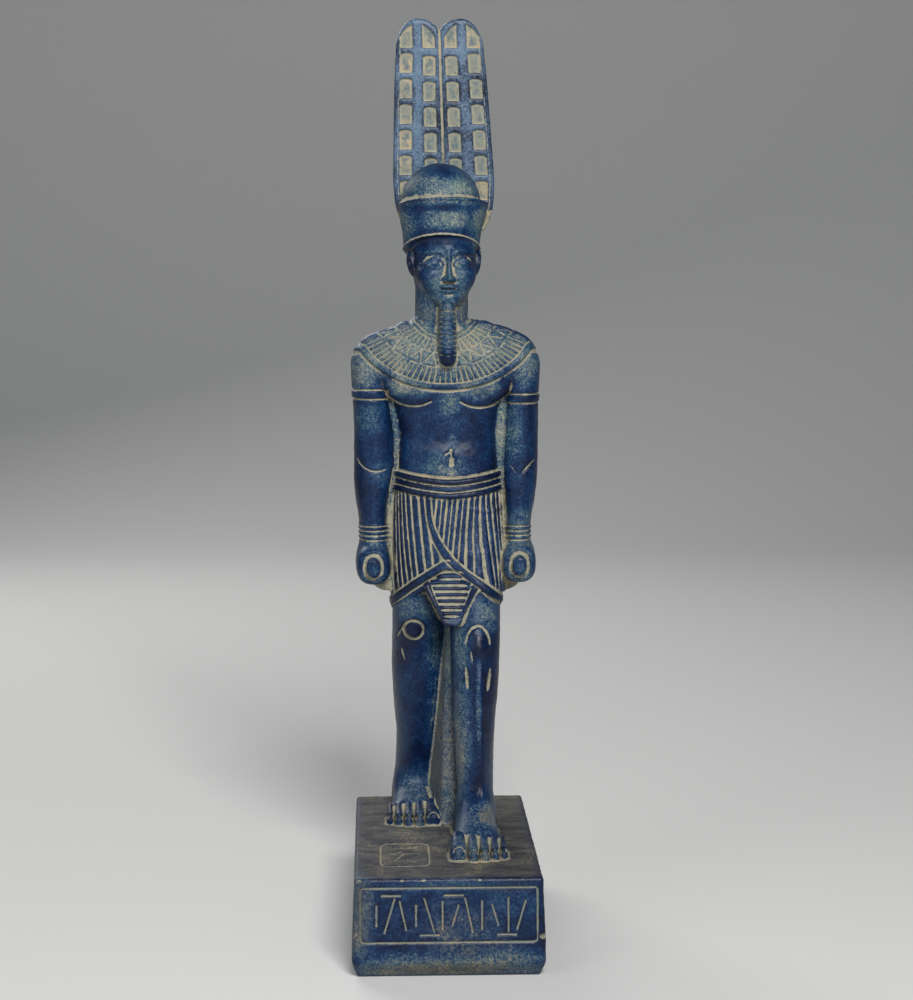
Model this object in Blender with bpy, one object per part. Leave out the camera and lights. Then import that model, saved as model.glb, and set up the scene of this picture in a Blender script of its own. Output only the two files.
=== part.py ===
"""Amun statue: a striding figure of a god in a tall double-plumed crown, cast in one piece with its plinth.

The figure stands against a plain back pillar, left foot forward, with stone left in place between
the legs and between the arms and the body. The stone is worked out as a field of distances, part by
part, and its surface is then taken from that field and thinned to a light faceted solid.

Metres, +Z up. The figure faces -Y, +X is its left hand. The origin is the middle of the underside.
"""

import bmesh
import bpy
import numpy as np
import openvdb

# Driving dimensions, in metres
PLINTH_WIDTH = 0.0784
PLINTH_DEPTH = 0.140
PLINTH_HEIGHT = 0.042
FIGURE_HEIGHT = 0.3595
PANEL_WIDTH = 0.0735
PANEL_HEIGHT = 0.0227
CARVING_DEPTH = 0.0008
GRID_STEP = 0.0005
MOST_TRIANGLES = 9600

# The figure's own measure: it is 359.5 units tall, and every height below is above the plinth's top
UNITS_TALL = 359.5
UNIT = FIGURE_HEIGHT / UNITS_TALL
DEPTH = CARVING_DEPTH / UNIT
STEP = GRID_STEP / UNIT
FAR = 4.0

STONE_COLOUR = (0.035, 0.075, 0.21, 1.0)
STONE_ROUGHNESS = 0.55

# Where the figure stands on the plinth, and how it is turned
MIDDLE_X = 1.5
MIDDLE_Y = 31.0
HEAD_X = 1.1
HEAD_TURN = np.radians(6.0)


def smooth(low, high, value):
    """0 below low, 1 above high and an S-shaped rise between them."""
    share = np.clip((value - low) / (high - low), 0.0, 1.0)
    return share * share * (3.0 - 2.0 * share)


def soft_min(first, second, blend):
    """The smaller of two distances, with the corner between them filled over the blend's width."""
    share = np.clip(0.5 + 0.5 * (second - first) / blend, 0.0, 1.0)
    return second + (first - second) * share - blend * share * (1.0 - share)


def soft_max(first, second, blend):
    return -soft_min(-first, -second, blend)


def flow(along, stations, column):
    """A smooth curve through one column of the stations, which never overshoots them."""
    at = stations[:, 0]
    value = stations[:, column]
    rise = np.diff(value) / np.diff(at)
    slope = np.zeros(len(at))
    same_way = rise[:-1] * rise[1:] > 0.0
    slope[1:-1][same_way] = (2.0 * rise[:-1] * rise[1:])[same_way] / (rise[:-1] + rise[1:])[same_way]
    slope[0] = rise[0]
    slope[-1] = rise[-1]
    inside = np.clip(along, at[0], at[-1])
    left = np.clip(np.searchsorted(at, inside, side="right") - 1, 0, len(at) - 2)
    width = at[left + 1] - at[left]
    share = (inside - at[left]) / width
    start = (1.0 + 2.0 * share) * (1.0 - share) ** 2 * value[left]
    end = share**2 * (3.0 - 2.0 * share) * value[left + 1]
    lean = share * (1.0 - share) * width * ((1.0 - share) * slope[left] - share * slope[left + 1])
    return start + end + lean


def pile(across, depth, along, stations, power=2.4, ends=1.5):
    """Distance to a pile of rounded sections. A station is (along, left, right, front, back)."""
    stations = np.asarray(stations, float)
    left, right, front, back = (flow(along, stations, column) for column in (1, 2, 3, 4))
    half_across = (right - left) / 2.0
    half_depth = (back - front) / 2.0
    u = np.abs(across - (left + right) / 2.0) / half_across + 1e-4
    v = np.abs(depth - (front + back) / 2.0) / half_depth + 1e-4
    reach = (u**power + v**power) ** (1.0 / power)
    steep = np.hypot(u ** (power - 1.0) / half_across, v ** (power - 1.0) / half_depth)
    side = (reach - 1.0) * reach ** (power - 1.0) / steep
    end = np.maximum(stations[0, 0] - along, along - stations[-1, 0])
    return soft_max(side, end, ends)


def ball(x, y, z, centre, radii):
    """Distance to an ellipsoid."""
    u = (x - centre[0]) / radii[0]
    v = (y - centre[1]) / radii[1]
    w = (z - centre[2]) / radii[2]
    reach = np.sqrt(u * u + v * v + w * w) + 1e-4
    steep = np.sqrt((u / radii[0]) ** 2 + (v / radii[1]) ** 2 + (w / radii[2]) ** 2) + 1e-4
    return (reach - 1.0) * reach / steep


def block(x, y, z, low, high, radius):
    """Distance to a box with rounded edges."""
    gaps = []
    for value, start, end in zip((x, y, z), low, high):
        gaps.append(np.abs(value - (start + end) / 2.0) - (end - start) / 2.0 + radius)
    outside = np.sqrt(sum(np.maximum(gap, 0.0) ** 2 for gap in gaps))
    inside = np.minimum(np.maximum(np.maximum(gaps[0], gaps[1]), gaps[2]), 0.0)
    return outside + inside - radius


# The plinth and the pillar

PLINTH_HALF = PLINTH_WIDTH / UNIT / 2.0
PLINTH_BACK = PLINTH_DEPTH / UNIT / 2.0
PLINTH_LOW = -PLINTH_HEIGHT / UNIT
FLARE = 1.0
WORN_IN = 1.7
EDGE_ROUNDING = 1.6


def plinth(x, y, z):
    widening = FLARE * smooth(0.0, PLINTH_LOW * 0.75, z)
    half = PLINTH_HALF + widening - WORN_IN * smooth(PLINTH_LOW + 7.0, PLINTH_LOW, z)
    return block(x / half * PLINTH_HALF, y / half * PLINTH_HALF, z,
                 (-PLINTH_HALF, -PLINTH_BACK, PLINTH_LOW), (PLINTH_HALF, PLINTH_BACK, 0.0), EDGE_ROUNDING)


PILLAR_HALF = 11.0
PILLAR_FRONT = 44.0
PILLAR_BACK = 66.0
PILLAR_TOP = 292.0
PILLAR_SLOPE = 0.45


def pillar(x, y, z):
    shaft = block(x, y, z, (MIDDLE_X - PILLAR_HALF, PILLAR_FRONT, -2.0),
                  (MIDDLE_X + PILLAR_HALF, PILLAR_BACK, PILLAR_TOP), 0.8)
    slope = (z - PILLAR_TOP + (y - 46.0) / PILLAR_SLOPE) * PILLAR_SLOPE / np.hypot(1.0, PILLAR_SLOPE)
    return soft_max(shaft, slope, 1.0)


# The legs, and the stone left between them

REAR_LEG = [
    (-2.0, -21.9, -2.0, 38.0, 62.0),
    (10.0, -21.6, -1.8, 39.0, 61.5),
    (21.0, -20.9, -1.6, 37.5, 61.5),
    (35.0, -20.4, -0.4, 33.0, 63.0),
    (53.0, -21.7, 1.4, 28.5, 62.0),
    (72.0, -22.5, 3.0, 25.5, 56.5),
    (86.0, -22.2, 3.6, 21.0, 51.5),
    (100.0, -22.2, 4.0, 16.6, 47.0),
    (125.0, -22.0, 4.4, 14.6, 45.0),
]
FRONT_LEG = [
    (-2.0, 5.6, 23.2, -7.0, 14.5),
    (10.0, 5.9, 22.8, -6.5, 15.0),
    (21.0, 6.0, 22.1, -6.0, 17.5),
    (35.0, 5.5, 22.4, -5.0, 22.0),
    (50.0, 4.4, 23.3, -3.0, 25.5),
    (67.0, 3.9, 24.9, -0.5, 27.0),
    (86.0, 3.7, 25.7, 2.0, 30.0),
    (100.0, 3.0, 26.0, 5.5, 36.0),
    (125.0, 2.0, 26.5, 10.0, 44.0),
]
SHIN = [
    (8.0, 14.6, 17.2, -7.6, 4.0),
    (30.0, 14.9, 17.5, -6.2, 4.0),
    (55.0, 14.6, 17.3, -3.6, 8.0),
    (68.0, 14.3, 17.2, -1.6, 10.0),
    (80.0, 14.2, 17.0, 3.4, 12.0),
]


def rear_leg(x, y, z):
    return soft_min(pile(x, y, z, REAR_LEG, 2.2), foot_body(x, y, z, REAR_FOOT), 5.0)


def front_leg(x, y, z):
    leg = pile(x, y, z, FRONT_LEG, 2.1)
    shin = pile(x, y, z, SHIN, 2.0)
    kneecap = ball(x, y, z, (15.5, 6.4, 81.6), (4.7, 6.2, 9.3))
    leg = soft_min(soft_min(leg, shin, 4.0), kneecap, 1.5)
    return soft_min(leg, foot_body(x, y, z, FRONT_FOOT), 5.0)


WEB_RISE = 92.0


def leg_web(x, y, z):
    rise = np.clip(z / WEB_RISE, 0.0, 1.0)
    front = 13.5 + 8.0 * rise
    left = -1.0 + 3.6 * rise - (y - front) * (0.20 - 0.04 * rise)
    wall = soft_max(left - x, front - y, 3.0)
    return soft_max(soft_max(wall, x - 14.0, 1.0), np.maximum(y - 58.0, z - 110.0), 1.0)


# The feet

FOOT = [
    (-39.0, -10.6, 11.4, -6.0, 3.4),
    (-35.0, -11.4, 12.0, -8.0, 5.4),
    (-30.0, -11.4, 12.0, -9.0, 8.6),
    (-24.0, -10.8, 11.2, -10.0, 11.0),
    (-16.0, -9.8, 10.0, -12.0, 14.4),
    (-4.0, -8.6, 8.6, -14.0, 20.0),
    (8.0, -8.2, 8.2, -12.0, 16.0),
    (14.0, -6.8, 6.8, -9.0, 9.0),
]
TOE_WIDTHS = [7.2, 5.0, 4.7, 4.2, 3.4]
TOE_REACH = [0.0, 1.6, 1.2, 0.0, -2.4]
TOE_HEIGHTS = [7.4, 6.6, 6.2, 5.8, 5.2]
FRONT_FOOT = (13.6, 0.0, 1.0, 1.0)
REAR_FOOT = (-12.6, 53.0, -1.0, 0.87)


def toes(foot):
    """The middle, front and size of each toe, from the big toe outwards."""
    middle_x, middle_y, outwards, length = foot
    inner = -12.0
    for width, reach, height in zip(TOE_WIDTHS, TOE_REACH, TOE_HEIGHTS):
        across = middle_x + outwards * (inner + width / 2.0)
        yield across, middle_y - (41.8 + reach) * length, width, height
        inner += width


def foot_body(x, y, z, foot):
    middle_x, middle_y, outwards, length = foot
    return pile((x - middle_x) * outwards, z, (y - middle_y) / length, FOOT, 2.3)


def foot_toes(x, y, z, foot):
    shape = np.full(np.broadcast(x, y, z).shape, FAR)
    for across, tip, width, height in toes(foot):
        half = width * 0.51
        toe = pile(x, z, y, [(tip - 3.4, across - half * 0.90, across + half * 0.90, -4.0, height * 0.74),
                             (tip, across - half, across + half, -4.4, height),
                             (tip + 5.0, across - half, across + half, -4.4, height * 1.06),
                             (tip + 12.0, across - half, across + half, -4.4, height * 1.40)],
                   2.5, 2.6)
        shape = soft_min(shape, toe, 0.4)
    return shape


def front_toes(x, y, z):
    return foot_toes(x, y, z, FRONT_FOOT)


def rear_toes(x, y, z):
    return foot_toes(x, y, z, REAR_FOOT)


# The kilt, its belt and the tab that hangs in front

KILT = [
    (86.0, -22.6, 26.2, 17.2, 50.0),
    (100.0, -22.9, 27.0, 14.3, 50.0),
    (127.0, -23.3, 28.4, 12.4, 51.0),
    (146.0, -22.6, 28.0, 12.2, 50.0),
    (154.0, -21.5, 27.0, 13.0, 49.0),
    (168.0, -20.2, 25.0, 14.2, 48.0),
]
KILT_OVER_THIGH = [
    (86.0, 3.0, 26.7, 3.6, 36.0),
    (100.0, 3.0, 27.0, 5.0, 38.0),
    (125.0, 4.0, 26.0, 11.0, 40.0),
    (140.0, 6.0, 24.0, 16.0, 40.0),
]
BELT_TOP = 156.6
BELT_DIP = 3.1
TAB_MIDDLE = 3.7
TAB_LOW = 92.8
TAB_TAPER_END = 96.2
TAB_HIGH = 117.0
TAB_OVER_THIGH = 1.3
HEM_BACK = 95.6


def belt_height(x, y, z):
    """Height with the belt's dip at the front taken out."""
    aside = np.clip(np.abs(x - 3.2) / 23.0, 0.0, 1.0)
    return z - BELT_DIP * np.where(y > MIDDLE_Y, 1.0, aside**1.5)


def hem(x, y):
    """How low the kilt reaches: highest beside the tab, falling to each side and level behind."""
    left = 106.4 - 0.61 * np.clip(-8.6 - x, 0.0, 14.0)
    right = 108.4 - 0.64 * np.clip(x - 16.0, 0.0, 11.0)
    front = np.where(x < 4.0, left, right)
    return front + (HEM_BACK - front) * smooth(24.0, 40.0, y)


def kilt(x, y, z):
    wrap = pile(x, y, z, KILT, 2.5, 0.5)
    thigh = pile(x, y, z, KILT_OVER_THIGH, 2.4, 0.5)
    cloth = soft_max(soft_min(wrap, thigh, 6.0), (hem(x, y) - z) * 0.85, 0.8)
    return soft_max(cloth, belt_height(x, y, z) - BELT_TOP, 0.8)


def tab_half(z):
    return 4.9 + np.maximum(z - TAB_TAPER_END, 0.0) * 0.53


def tab(x, y, z):
    front = 2.4 + (z - TAB_LOW) * 0.31
    side = (np.abs(x - TAB_MIDDLE) - tab_half(z)) * 0.9
    ends = np.maximum(TAB_LOW - z, z - TAB_HIGH)
    bands_over = np.maximum(lower_band_offset(x, z), sash_offset(x, z)) + BAND_HALF + 0.5
    flat = np.maximum(soft_max(side, ends, 3.6), bands_over)
    over_thigh = np.maximum(front_leg(x, y, z) - TAB_OVER_THIGH, y - 14.0)
    return soft_max(flat, soft_min(np.maximum(front - y, y - 24.0), over_thigh, 0.5), 1.0)


# The body, the arms and the stone beside them

TORSO = [
    (146.0, -20.0, 25.4, 15.5, 47.5),
    (158.0, -20.6, 26.0, 14.9, 46.5),
    (166.0, -19.8, 25.2, 15.0, 46.0),
    (175.0, -19.6, 25.0, 16.4, 46.0),
    (187.0, -21.6, 26.6, 16.4, 47.0),
    (197.0, -24.0, 29.5, 15.4, 48.5),
    (207.0, -27.0, 31.0, 15.0, 49.5),
    (216.0, -25.0, 29.0, 16.6, 49.0),
    (224.0, -17.0, 19.0, 20.0, 46.0),
]
YOKE = [
    (-39.2, 202.0, 210.0, 26.0, 36.0),
    (-36.6, 198.0, 215.4, 21.5, 41.0),
    (-31.0, 197.0, 219.6, 18.0, 45.0),
    (-22.0, 196.0, 222.8, 15.6, 48.0),
    (-12.0, 192.0, 225.4, 14.8, 49.5),
    (1.5, 190.0, 226.8, 15.2, 50.0),
    (14.0, 192.0, 225.8, 14.8, 49.5),
    (24.0, 196.0, 224.0, 15.6, 48.0),
    (33.0, 197.0, 221.0, 18.0, 45.0),
    (40.0, 198.0, 216.6, 21.5, 41.0),
    (42.7, 202.0, 210.6, 26.0, 36.0),
]
CHEST = [(-13.0, 24.0, 206.0), (17.0, 24.0, 205.3)]
CHEST_RADII = (15.8, 11.2, 16.2)
CHEST_EDGE = 16.6
BREASTBONE = (-2.6, 6.0)
NAVEL_TOP = [((4.0, 165.6), (3.8, 169.4), 1.3), ((3.4, 168.6), (1.4, 167.6), 0.8)]


def torso(x, y, z):
    body = pile(x, y, z, TORSO, 2.5)
    yoke = pile(z, y, x, YOKE, 2.2)
    shape = soft_min(body, yoke, 4.0)
    for centre in CHEST:
        shape = soft_min(shape, ball(x, y, z, centre, CHEST_RADII), 1.2)
    return shape


LEFT_SIDE_ARM = [
    (124.0, -37.0, -23.4, 19.0, 39.5),
    (131.0, -36.9, -23.8, 18.5, 39.0),
    (139.0, -37.4, -24.2, 18.4, 39.0),
    (147.0, -38.5, -23.4, 18.2, 40.0),
    (156.0, -39.3, -21.6, 18.6, 41.5),
    (164.0, -39.2, -20.4, 19.0, 42.0),
    (174.0, -39.1, -20.4, 19.0, 42.5),
    (184.0, -39.3, -21.6, 19.0, 43.0),
    (196.0, -40.0, -23.4, 18.6, 43.5),
    (207.0, -40.4, -23.0, 18.8, 43.0),
    (214.5, -38.6, -24.0, 21.5, 41.0),
]
RIGHT_SIDE_ARM = [
    (124.0, 28.0, 40.0, 19.0, 39.5),
    (131.0, 28.4, 39.8, 18.5, 39.0),
    (139.0, 28.2, 40.4, 18.4, 39.0),
    (147.0, 27.3, 41.8, 18.2, 40.0),
    (156.0, 26.8, 42.9, 18.6, 41.5),
    (164.0, 26.8, 43.2, 19.0, 42.0),
    (174.0, 27.2, 43.4, 19.0, 42.5),
    (184.0, 27.7, 43.4, 19.0, 43.0),
    (196.0, 28.0, 43.8, 18.6, 43.5),
    (207.0, 27.0, 44.1, 18.8, 43.0),
    (214.5, 28.0, 42.2, 21.5, 41.0),
]
LEFT_SIDE_FIST = (-30.6, 117.6)
RIGHT_SIDE_FIST = (34.2, 118.4)
FIST = [
    (13.4, -5.8, 6.4, -6.4, 7.0),
    (17.0, -7.4, 7.4, -8.2, 8.8),
    (28.0, -8.0, 7.8, -8.8, 9.6),
    (38.0, -7.4, 7.4, -8.0, 9.2),
    (43.0, -5.2, 5.2, -5.6, 7.0),
]
ROD_FRONT = 9.6


def arm_shape(x, y, z, stations, fist, turned):
    middle_x, middle_z = fist
    arm = pile(x, y, z, stations, 2.3, 3.0)
    hand = pile((x - middle_x) * turned, z - middle_z, y, FIST, 2.5, 2.0)
    rod = soft_max(np.hypot((x - middle_x) / 3.2, (z - middle_z) / 4.3) * 3.6 - 3.6,
                   np.maximum(ROD_FRONT - y, y - 20.0), 1.8)
    return soft_min(soft_min(arm, hand, 3.0), rod, 0.5)


def left_side_arm(x, y, z):
    return arm_shape(x, y, z, LEFT_SIDE_ARM, LEFT_SIDE_FIST, 1.0)


def right_side_arm(x, y, z):
    return arm_shape(x, y, z, RIGHT_SIDE_ARM, RIGHT_SIDE_FIST, -1.0)


WEB_FRONT = 25.2


def arm_web(x, y, z):
    """The stone left between the arms and the body, rounded off below the fists."""
    low = 105.4 + 0.055 * np.maximum(np.abs(x - 1.8) - 26.5, 0.0) ** 2.2
    slab = block(x, y, z, (-35.0, WEB_FRONT, 60.0), (38.6, 42.8, 198.0), 2.0)
    return soft_max(slab, (low - z) * 0.8, 2.0)


# The neck, the head and the ears

NECK = [
    (219.0, -15.5, 17.5, 17.0, 46.0),
    (224.0, -12.9, 13.2, 18.6, 45.0),
    (230.0, -11.7, 11.7, 19.4, 44.4),
    (245.0, -11.4, 11.8, 18.4, 44.8),
]
SKULL = [
    (231.8, -4.4, 4.4, -13.0, 2.0),
    (233.6, -6.4, 6.4, -15.4, 6.0),
    (237.0, -9.2, 9.2, -16.5, 10.0),
    (240.5, -11.4, 11.4, -16.8, 13.0),
    (245.0, -13.2, 13.2, -16.6, 15.5),
    (250.0, -14.1, 14.1, -16.2, 17.0),
    (258.0, -14.4, 14.4, -16.7, 17.5),
    (268.0, -14.2, 14.2, -16.2, 17.5),
]
NOSE = [
    (243.4, -1.9, 1.9, -19.0, -12.0),
    (244.8, -2.1, 2.1, -21.0, -12.0),
    (247.5, -1.6, 1.6, -20.0, -12.0),
    (251.5, -1.2, 1.2, -18.6, -12.0),
    (255.5, -1.6, 1.6, -17.6, -12.0),
    (258.5, -2.8, 2.8, -16.9, -12.0),
]
EYE_LINE = 251.4
EYE_APART = 6.2
EYE_HALF = 3.8


def neck(x, y, z):
    return pile(x, y, z, NECK, 2.1, 3.0)


def head_space(x, y):
    """Across and back from the middle of the head, turned with it."""
    across = (x - HEAD_X) * np.cos(HEAD_TURN) + (y - MIDDLE_Y) * np.sin(HEAD_TURN)
    back = (y - MIDDLE_Y) * np.cos(HEAD_TURN) - (x - HEAD_X) * np.sin(HEAD_TURN)
    return across, back


def head(x, y, z):
    across, back = head_space(x, y)
    side = np.abs(across)
    shape = pile(across, back, z, SKULL, 2.3, 2.0)
    shape = soft_min(shape, ball(side, back, z, (7.4, -9.8, 246.2), (5.4, 6.4, 5.6)), 3.0)
    shape = soft_min(shape, ball(across, back, z, (0.0, -14.4, 235.4), (4.0, 3.0, 2.8)), 2.0)
    shape = soft_max(shape, -ball(side, back, z, (EYE_APART, -19.3, 252.0), (5.0, 3.6, 3.6)), 1.8)
    shape = soft_min(shape, ball(side, back, z, (EYE_APART, -13.2, EYE_LINE), (4.1, 3.3, 2.9)), 0.4)
    shape = soft_min(shape, pile(across, back, z, NOSE, 2.0, 0.8), 1.2)
    shape = soft_min(shape, ball(side, back, z, (1.9, -17.4, 244.8), (1.25, 1.8, 1.3)), 0.7)
    shape = soft_min(shape, ball(side, back, z, (1.5, -16.6, 241.6), (2.7, 1.9, 1.05)), 0.5)
    shape = soft_min(shape, ball(across, back, z, (0.0, -16.1, 239.4), (3.1, 2.2, 1.25)), 0.5)
    return shape


def ears(x, y, z):
    across, back = head_space(x, y)
    side = np.abs(across) - 0.17 * (z - 251.5)
    ear = ball(side, back, z, (14.6, -1.2, 251.4), (2.0, 3.6, 5.6))
    hollow = ball(side, back, z, (16.2, -3.2, 252.0), (1.2, 2.0, 3.4))
    return soft_max(ear, -hollow, 0.5)


BEARD = [
    (206.8, 0.2, 4.4, 9.6, 24.0),
    (208.6, -1.2, 5.7, 8.0, 24.0),
    (214.0, -1.8, 6.3, 7.2, 24.0),
    (224.0, -1.7, 6.2, 8.4, 24.0),
    (231.0, -1.4, 5.8, 10.2, 24.0),
    (236.0, -1.0, 5.3, 12.6, 24.0),
]


def beard(x, y, z):
    return pile(x, y, z, BEARD, 2.6, 1.6)


# The crown: a flaring cap, a low dome and two tall plumes

CAP = [
    (248.0, -16.2, 16.4, 14.2, 47.6),
    (257.0, -16.6, 16.9, 13.8, 47.8),
    (264.0, -17.2, 17.6, 13.2, 48.2),
    (270.6, -18.3, 19.1, 12.4, 48.8),
    (277.0, -18.7, 20.4, 11.6, 49.4),
    (284.0, -18.8, 20.7, 11.2, 49.8),
]
CAP_LOW = 257.4
CAP_LOW_RISE = 0.38
FILLET_HIGH = 0.6
CAP_HIGH = 277.4
CAP_HIGH_RISE = 0.147
DOME = (-0.1, 31.0, 278.4)
DOME_RADII = (17.5, 18.4, 17.4)


def cap_heights(y):
    """The lower and upper edges of the cap, which both rise towards the front."""
    forward = MIDDLE_Y - y
    return CAP_LOW + CAP_LOW_RISE * forward, CAP_HIGH + CAP_HIGH_RISE * forward


def cap(x, y, z):
    low, high = cap_heights(y)
    return soft_max(soft_max(pile(x, y, z, CAP, 2.0), z - high, 0.9), low - z, 0.9)


def dome(x, y, z):
    return ball(x, y, z, DOME, DOME_RADII)


PLUME_FRONT = 36.6
PLUME_BACK = 47.4
PLUME_OUTLINE = [
    (262.0, 15.0),
    (270.4, 19.6),
    (274.4, 21.1),
    (280.0, 22.1),
    (288.6, 22.5),
    (302.0, 22.0),
    (315.0, 21.4),
    (332.5, 20.5),
    (344.0, 19.6),
]
PLUME_SHOULDER = 344.0
PLUME_CROWN = 15.4
PLUME_MEETING = 0.74
PLUME_LOW = 266.0


def plume_lines(z):
    """The line between the plumes, and the outer edge on each side of it."""
    middle = -0.6 + (355.0 - z) * 0.030
    return middle, flow(z, np.asarray(PLUME_OUTLINE, float), 1)


def plumes(x, y, z):
    middle, outer = plume_lines(z)
    half = outer / 2.0
    above = np.maximum(z - PLUME_SHOULDER, 0.0) / PLUME_CROWN * half
    within = np.abs(x - middle) - half
    within = np.maximum(within, -PLUME_MEETING * within)
    sheet = np.where(z > PLUME_SHOULDER, np.hypot(within, above), within) - half
    thick = np.maximum(PLUME_FRONT - y, y - PLUME_BACK)
    return soft_max(soft_max(sheet, thick, 1.6), PLUME_LOW - z, 1.0)


# The carved lines. Each returns a height above the plain surface, below zero where it is cut

def line(offset, width):
    """A groove where the offset is near zero, one deep in its middle."""
    return -np.clip(1.5 * (1.0 - np.abs(offset) / width), 0.0, 1.0)


def stroke(u, w, start, end, width, taper=0.0):
    """A groove along the straight line from start to end, thinner towards its ends by the taper."""
    run_u = end[0] - start[0]
    run_w = end[1] - start[1]
    share = ((u - start[0]) * run_u + (w - start[1]) * run_w) / (run_u**2 + run_w**2)
    share = np.clip(share, 0.0, 1.0)
    full = 1.0 - taper * (2.0 * share - 1.0) ** 2
    return full * line(np.hypot(u - start[0] - share * run_u, w - start[1] - share * run_w), width * full)


def stripes(phase, cut):
    """Grooves at whole numbers of the phase, cut being the share of the pitch that they take."""
    away = np.abs(phase - np.round(phase))
    return -smooth(cut / 2.0 + 0.13, cut / 2.0 - 0.13, away)


COLLAR_MIDDLE = (1.5, 230.0)
COLLAR_RADII = (43.2, 33.5)
COLLAR_EDGES = [0.365, 0.52, 0.71, 0.92, 1.0]
NECK_RING = 0.315
OUTER_RAYS = 96
INNER_RAYS = 56
TRIANGLES = 26
SHOULDER_ROUND = 9.0
SHOULDER_UNROLL = 0.65


def collar(x, y, z):
    """A broad collar in bands: ticks by the neck, triangles, long ticks and a plain border.

    On top of the shoulders the bands are measured on over the crest as if it were unrolled.
    """
    over_crest = SHOULDER_UNROLL * np.clip(SHOULDER_ROUND - np.abs(y - MIDDLE_Y), 0.0, SHOULDER_ROUND)
    u = (x - COLLAR_MIDDLE[0]) / COLLAR_RADII[0]
    w = (z + over_crest - COLLAR_MIDDLE[1]) / COLLAR_RADII[1]
    reach = np.hypot(u, w)
    turn = np.arctan2(w, u) / (2.0 * np.pi)
    inner, triangles, outer, border, end = COLLAR_EDGES
    on_body = smooth(NECK_RING - 0.05, NECK_RING - 0.02, reach) * smooth(228.6, 227.0, z)
    raised = smooth(end + 0.012, end - 0.012, reach) + 0.5 * line(reach - end - 0.026, 0.026)
    cut = stripes(turn * OUTER_RAYS, 0.46) * (reach > outer) * (reach < border)
    cut = cut + stripes(turn * INNER_RAYS, 0.46) * (reach > inner) * (reach < triangles)
    wave = np.abs(2.0 * (turn * TRIANGLES - np.floor(turn * TRIANGLES)) - 1.0)
    share = (reach - triangles) / (outer - triangles)
    zigzag = line(share - wave, 0.34) * (reach > triangles) * (reach < outer)
    cut = np.minimum(cut, zigzag)
    for edge in (NECK_RING, inner, triangles, outer, border):
        cut = np.minimum(cut, line(reach - edge, 0.021))
    crest = 0.3 + 0.7 * smooth(1.0, 6.0, np.abs(y - MIDDLE_Y))
    return (raised + cut * crest * (reach < end)) * on_body


def bands(height, lines, width):
    cut = np.zeros_like(height)
    for edge in lines:
        cut = np.minimum(cut, line(height - edge, width))
    return cut


BELT_LINES = [154.0, 150.9]
BELT_LOW = 148.2
BELT_MIDDLE = 152.4
SASH = [(103.6, 25.2), (109.2, 18.8), (113.0, 13.3), (116.6, 8.1), (121.2, 3.0), (126.8, -0.9),
        (130.2, -2.8), (135.7, -4.9), (141.0, -6.0), (148.0, -6.5)]
LOWER_BAND = [(-23.0, 100.4), (-19.9, 103.8), (-13.6, 109.1), (-5.7, 114.6), (0.5, 118.4)]
BAND_HALF = 1.5
SASH_HALF_HIGH = 0.9
PLEATS_OVER = 58
PLEATS_UNDER = 42
PLEAT_LEAN = 0.10
PLEATS_CROWD = 0.032


def sash_offset(x, z):
    """Signed distance from the middle of the band that crosses the kilt from the belt to the right hem."""
    path = np.array(SASH)
    slope = np.interp(z, path[:, 0], np.gradient(path[:, 1], path[:, 0]))
    return (x - np.interp(z, path[:, 0], path[:, 1])) / np.hypot(1.0, slope)


def lower_band_offset(x, z):
    """Signed height above the middle of the band that falls from the sash to the left hem."""
    path = np.array(LOWER_BAND)
    return (z - np.interp(x, path[:, 0], path[:, 1])) * 0.80


def pleat_lines(x, y, z, over):
    """The pleats, drawn together below the belt.

    They are broad and narrow by turns on the side that laps over, and closer towards the flank on the other.
    """
    drop = np.clip(150.0 - z, 0.0, 50.0) * PLEAT_LEAN * (y < MIDDLE_Y)
    shift = np.where(over, drop * smooth(24.0, 14.0, x), -drop * smooth(-24.0, -13.0, x))
    turn = np.arctan2(x + shift - 2.6, 34.0 - y) / (2.0 * np.pi)
    crowd = PLEATS_CROWD * np.clip(-13.3 - x - shift, 0.0, 8.0) ** 2
    phase = np.where(over, turn * PLEATS_OVER + 0.13, turn * PLEATS_UNDER - crowd)
    broad = np.abs(phase - 2.0 * np.round(phase / 2.0)) < 0.5
    return stripes(phase, np.where(over, np.where(broad, 0.48, 0.26), 0.36))


def kilt_carving(x, y, z):
    height = belt_height(x, y, z)
    sash = sash_offset(x, z)
    lower = lower_band_offset(x, z)
    half = BAND_HALF + (SASH_HALF_HIGH - BAND_HALF) * smooth(124.0, 140.0, z)
    front = (y < 33.0) & (height < BELT_LOW + 0.6)
    in_sash = smooth(0.2, -0.3, np.abs(sash) - half) * front * smooth(BELT_LOW + 0.6, BELT_LOW - 0.8, height)
    in_lower = smooth(0.2, -0.3, np.abs(lower) - BAND_HALF) * front * (sash < 0.0)
    edges = line(np.abs(sash) - half - 0.5, np.where(sash > 0.0, 0.85, 0.6))
    edges = np.minimum(edges, line(np.abs(lower) - BAND_HALF - 0.5, 0.6) * (sash < 0.0)) * front
    clear = (np.abs(sash) > half + 0.5) & ((np.abs(lower) > BAND_HALF + 0.5) | (sash > 0.0))
    clear = clear & ~(front & (lower < 0.0) & (sash < 0.0))
    pleats = pleat_lines(x, y, z, (sash > 0.0) | (y > 33.0)) * smooth(BELT_LOW + 0.2, BELT_LOW - 0.8, height)
    cut = np.minimum(pleats * np.where(front, clear, 1.0), edges)
    cut = cut + 0.7 * np.maximum(in_sash, in_lower)
    ridges = smooth(1.4, 2.0, np.abs(height - BELT_MIDDLE))
    raised = smooth(BELT_LOW - 0.2, BELT_LOW + 0.5, height) * smooth(BELT_TOP + 0.3, BELT_TOP - 0.5, height)
    belt = bands(height, BELT_LINES, 0.55) + (0.7 + 0.7 * ridges) * raised
    return cut + belt + 0.5 * line(height - BELT_TOP - 0.4, 0.7)


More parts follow.
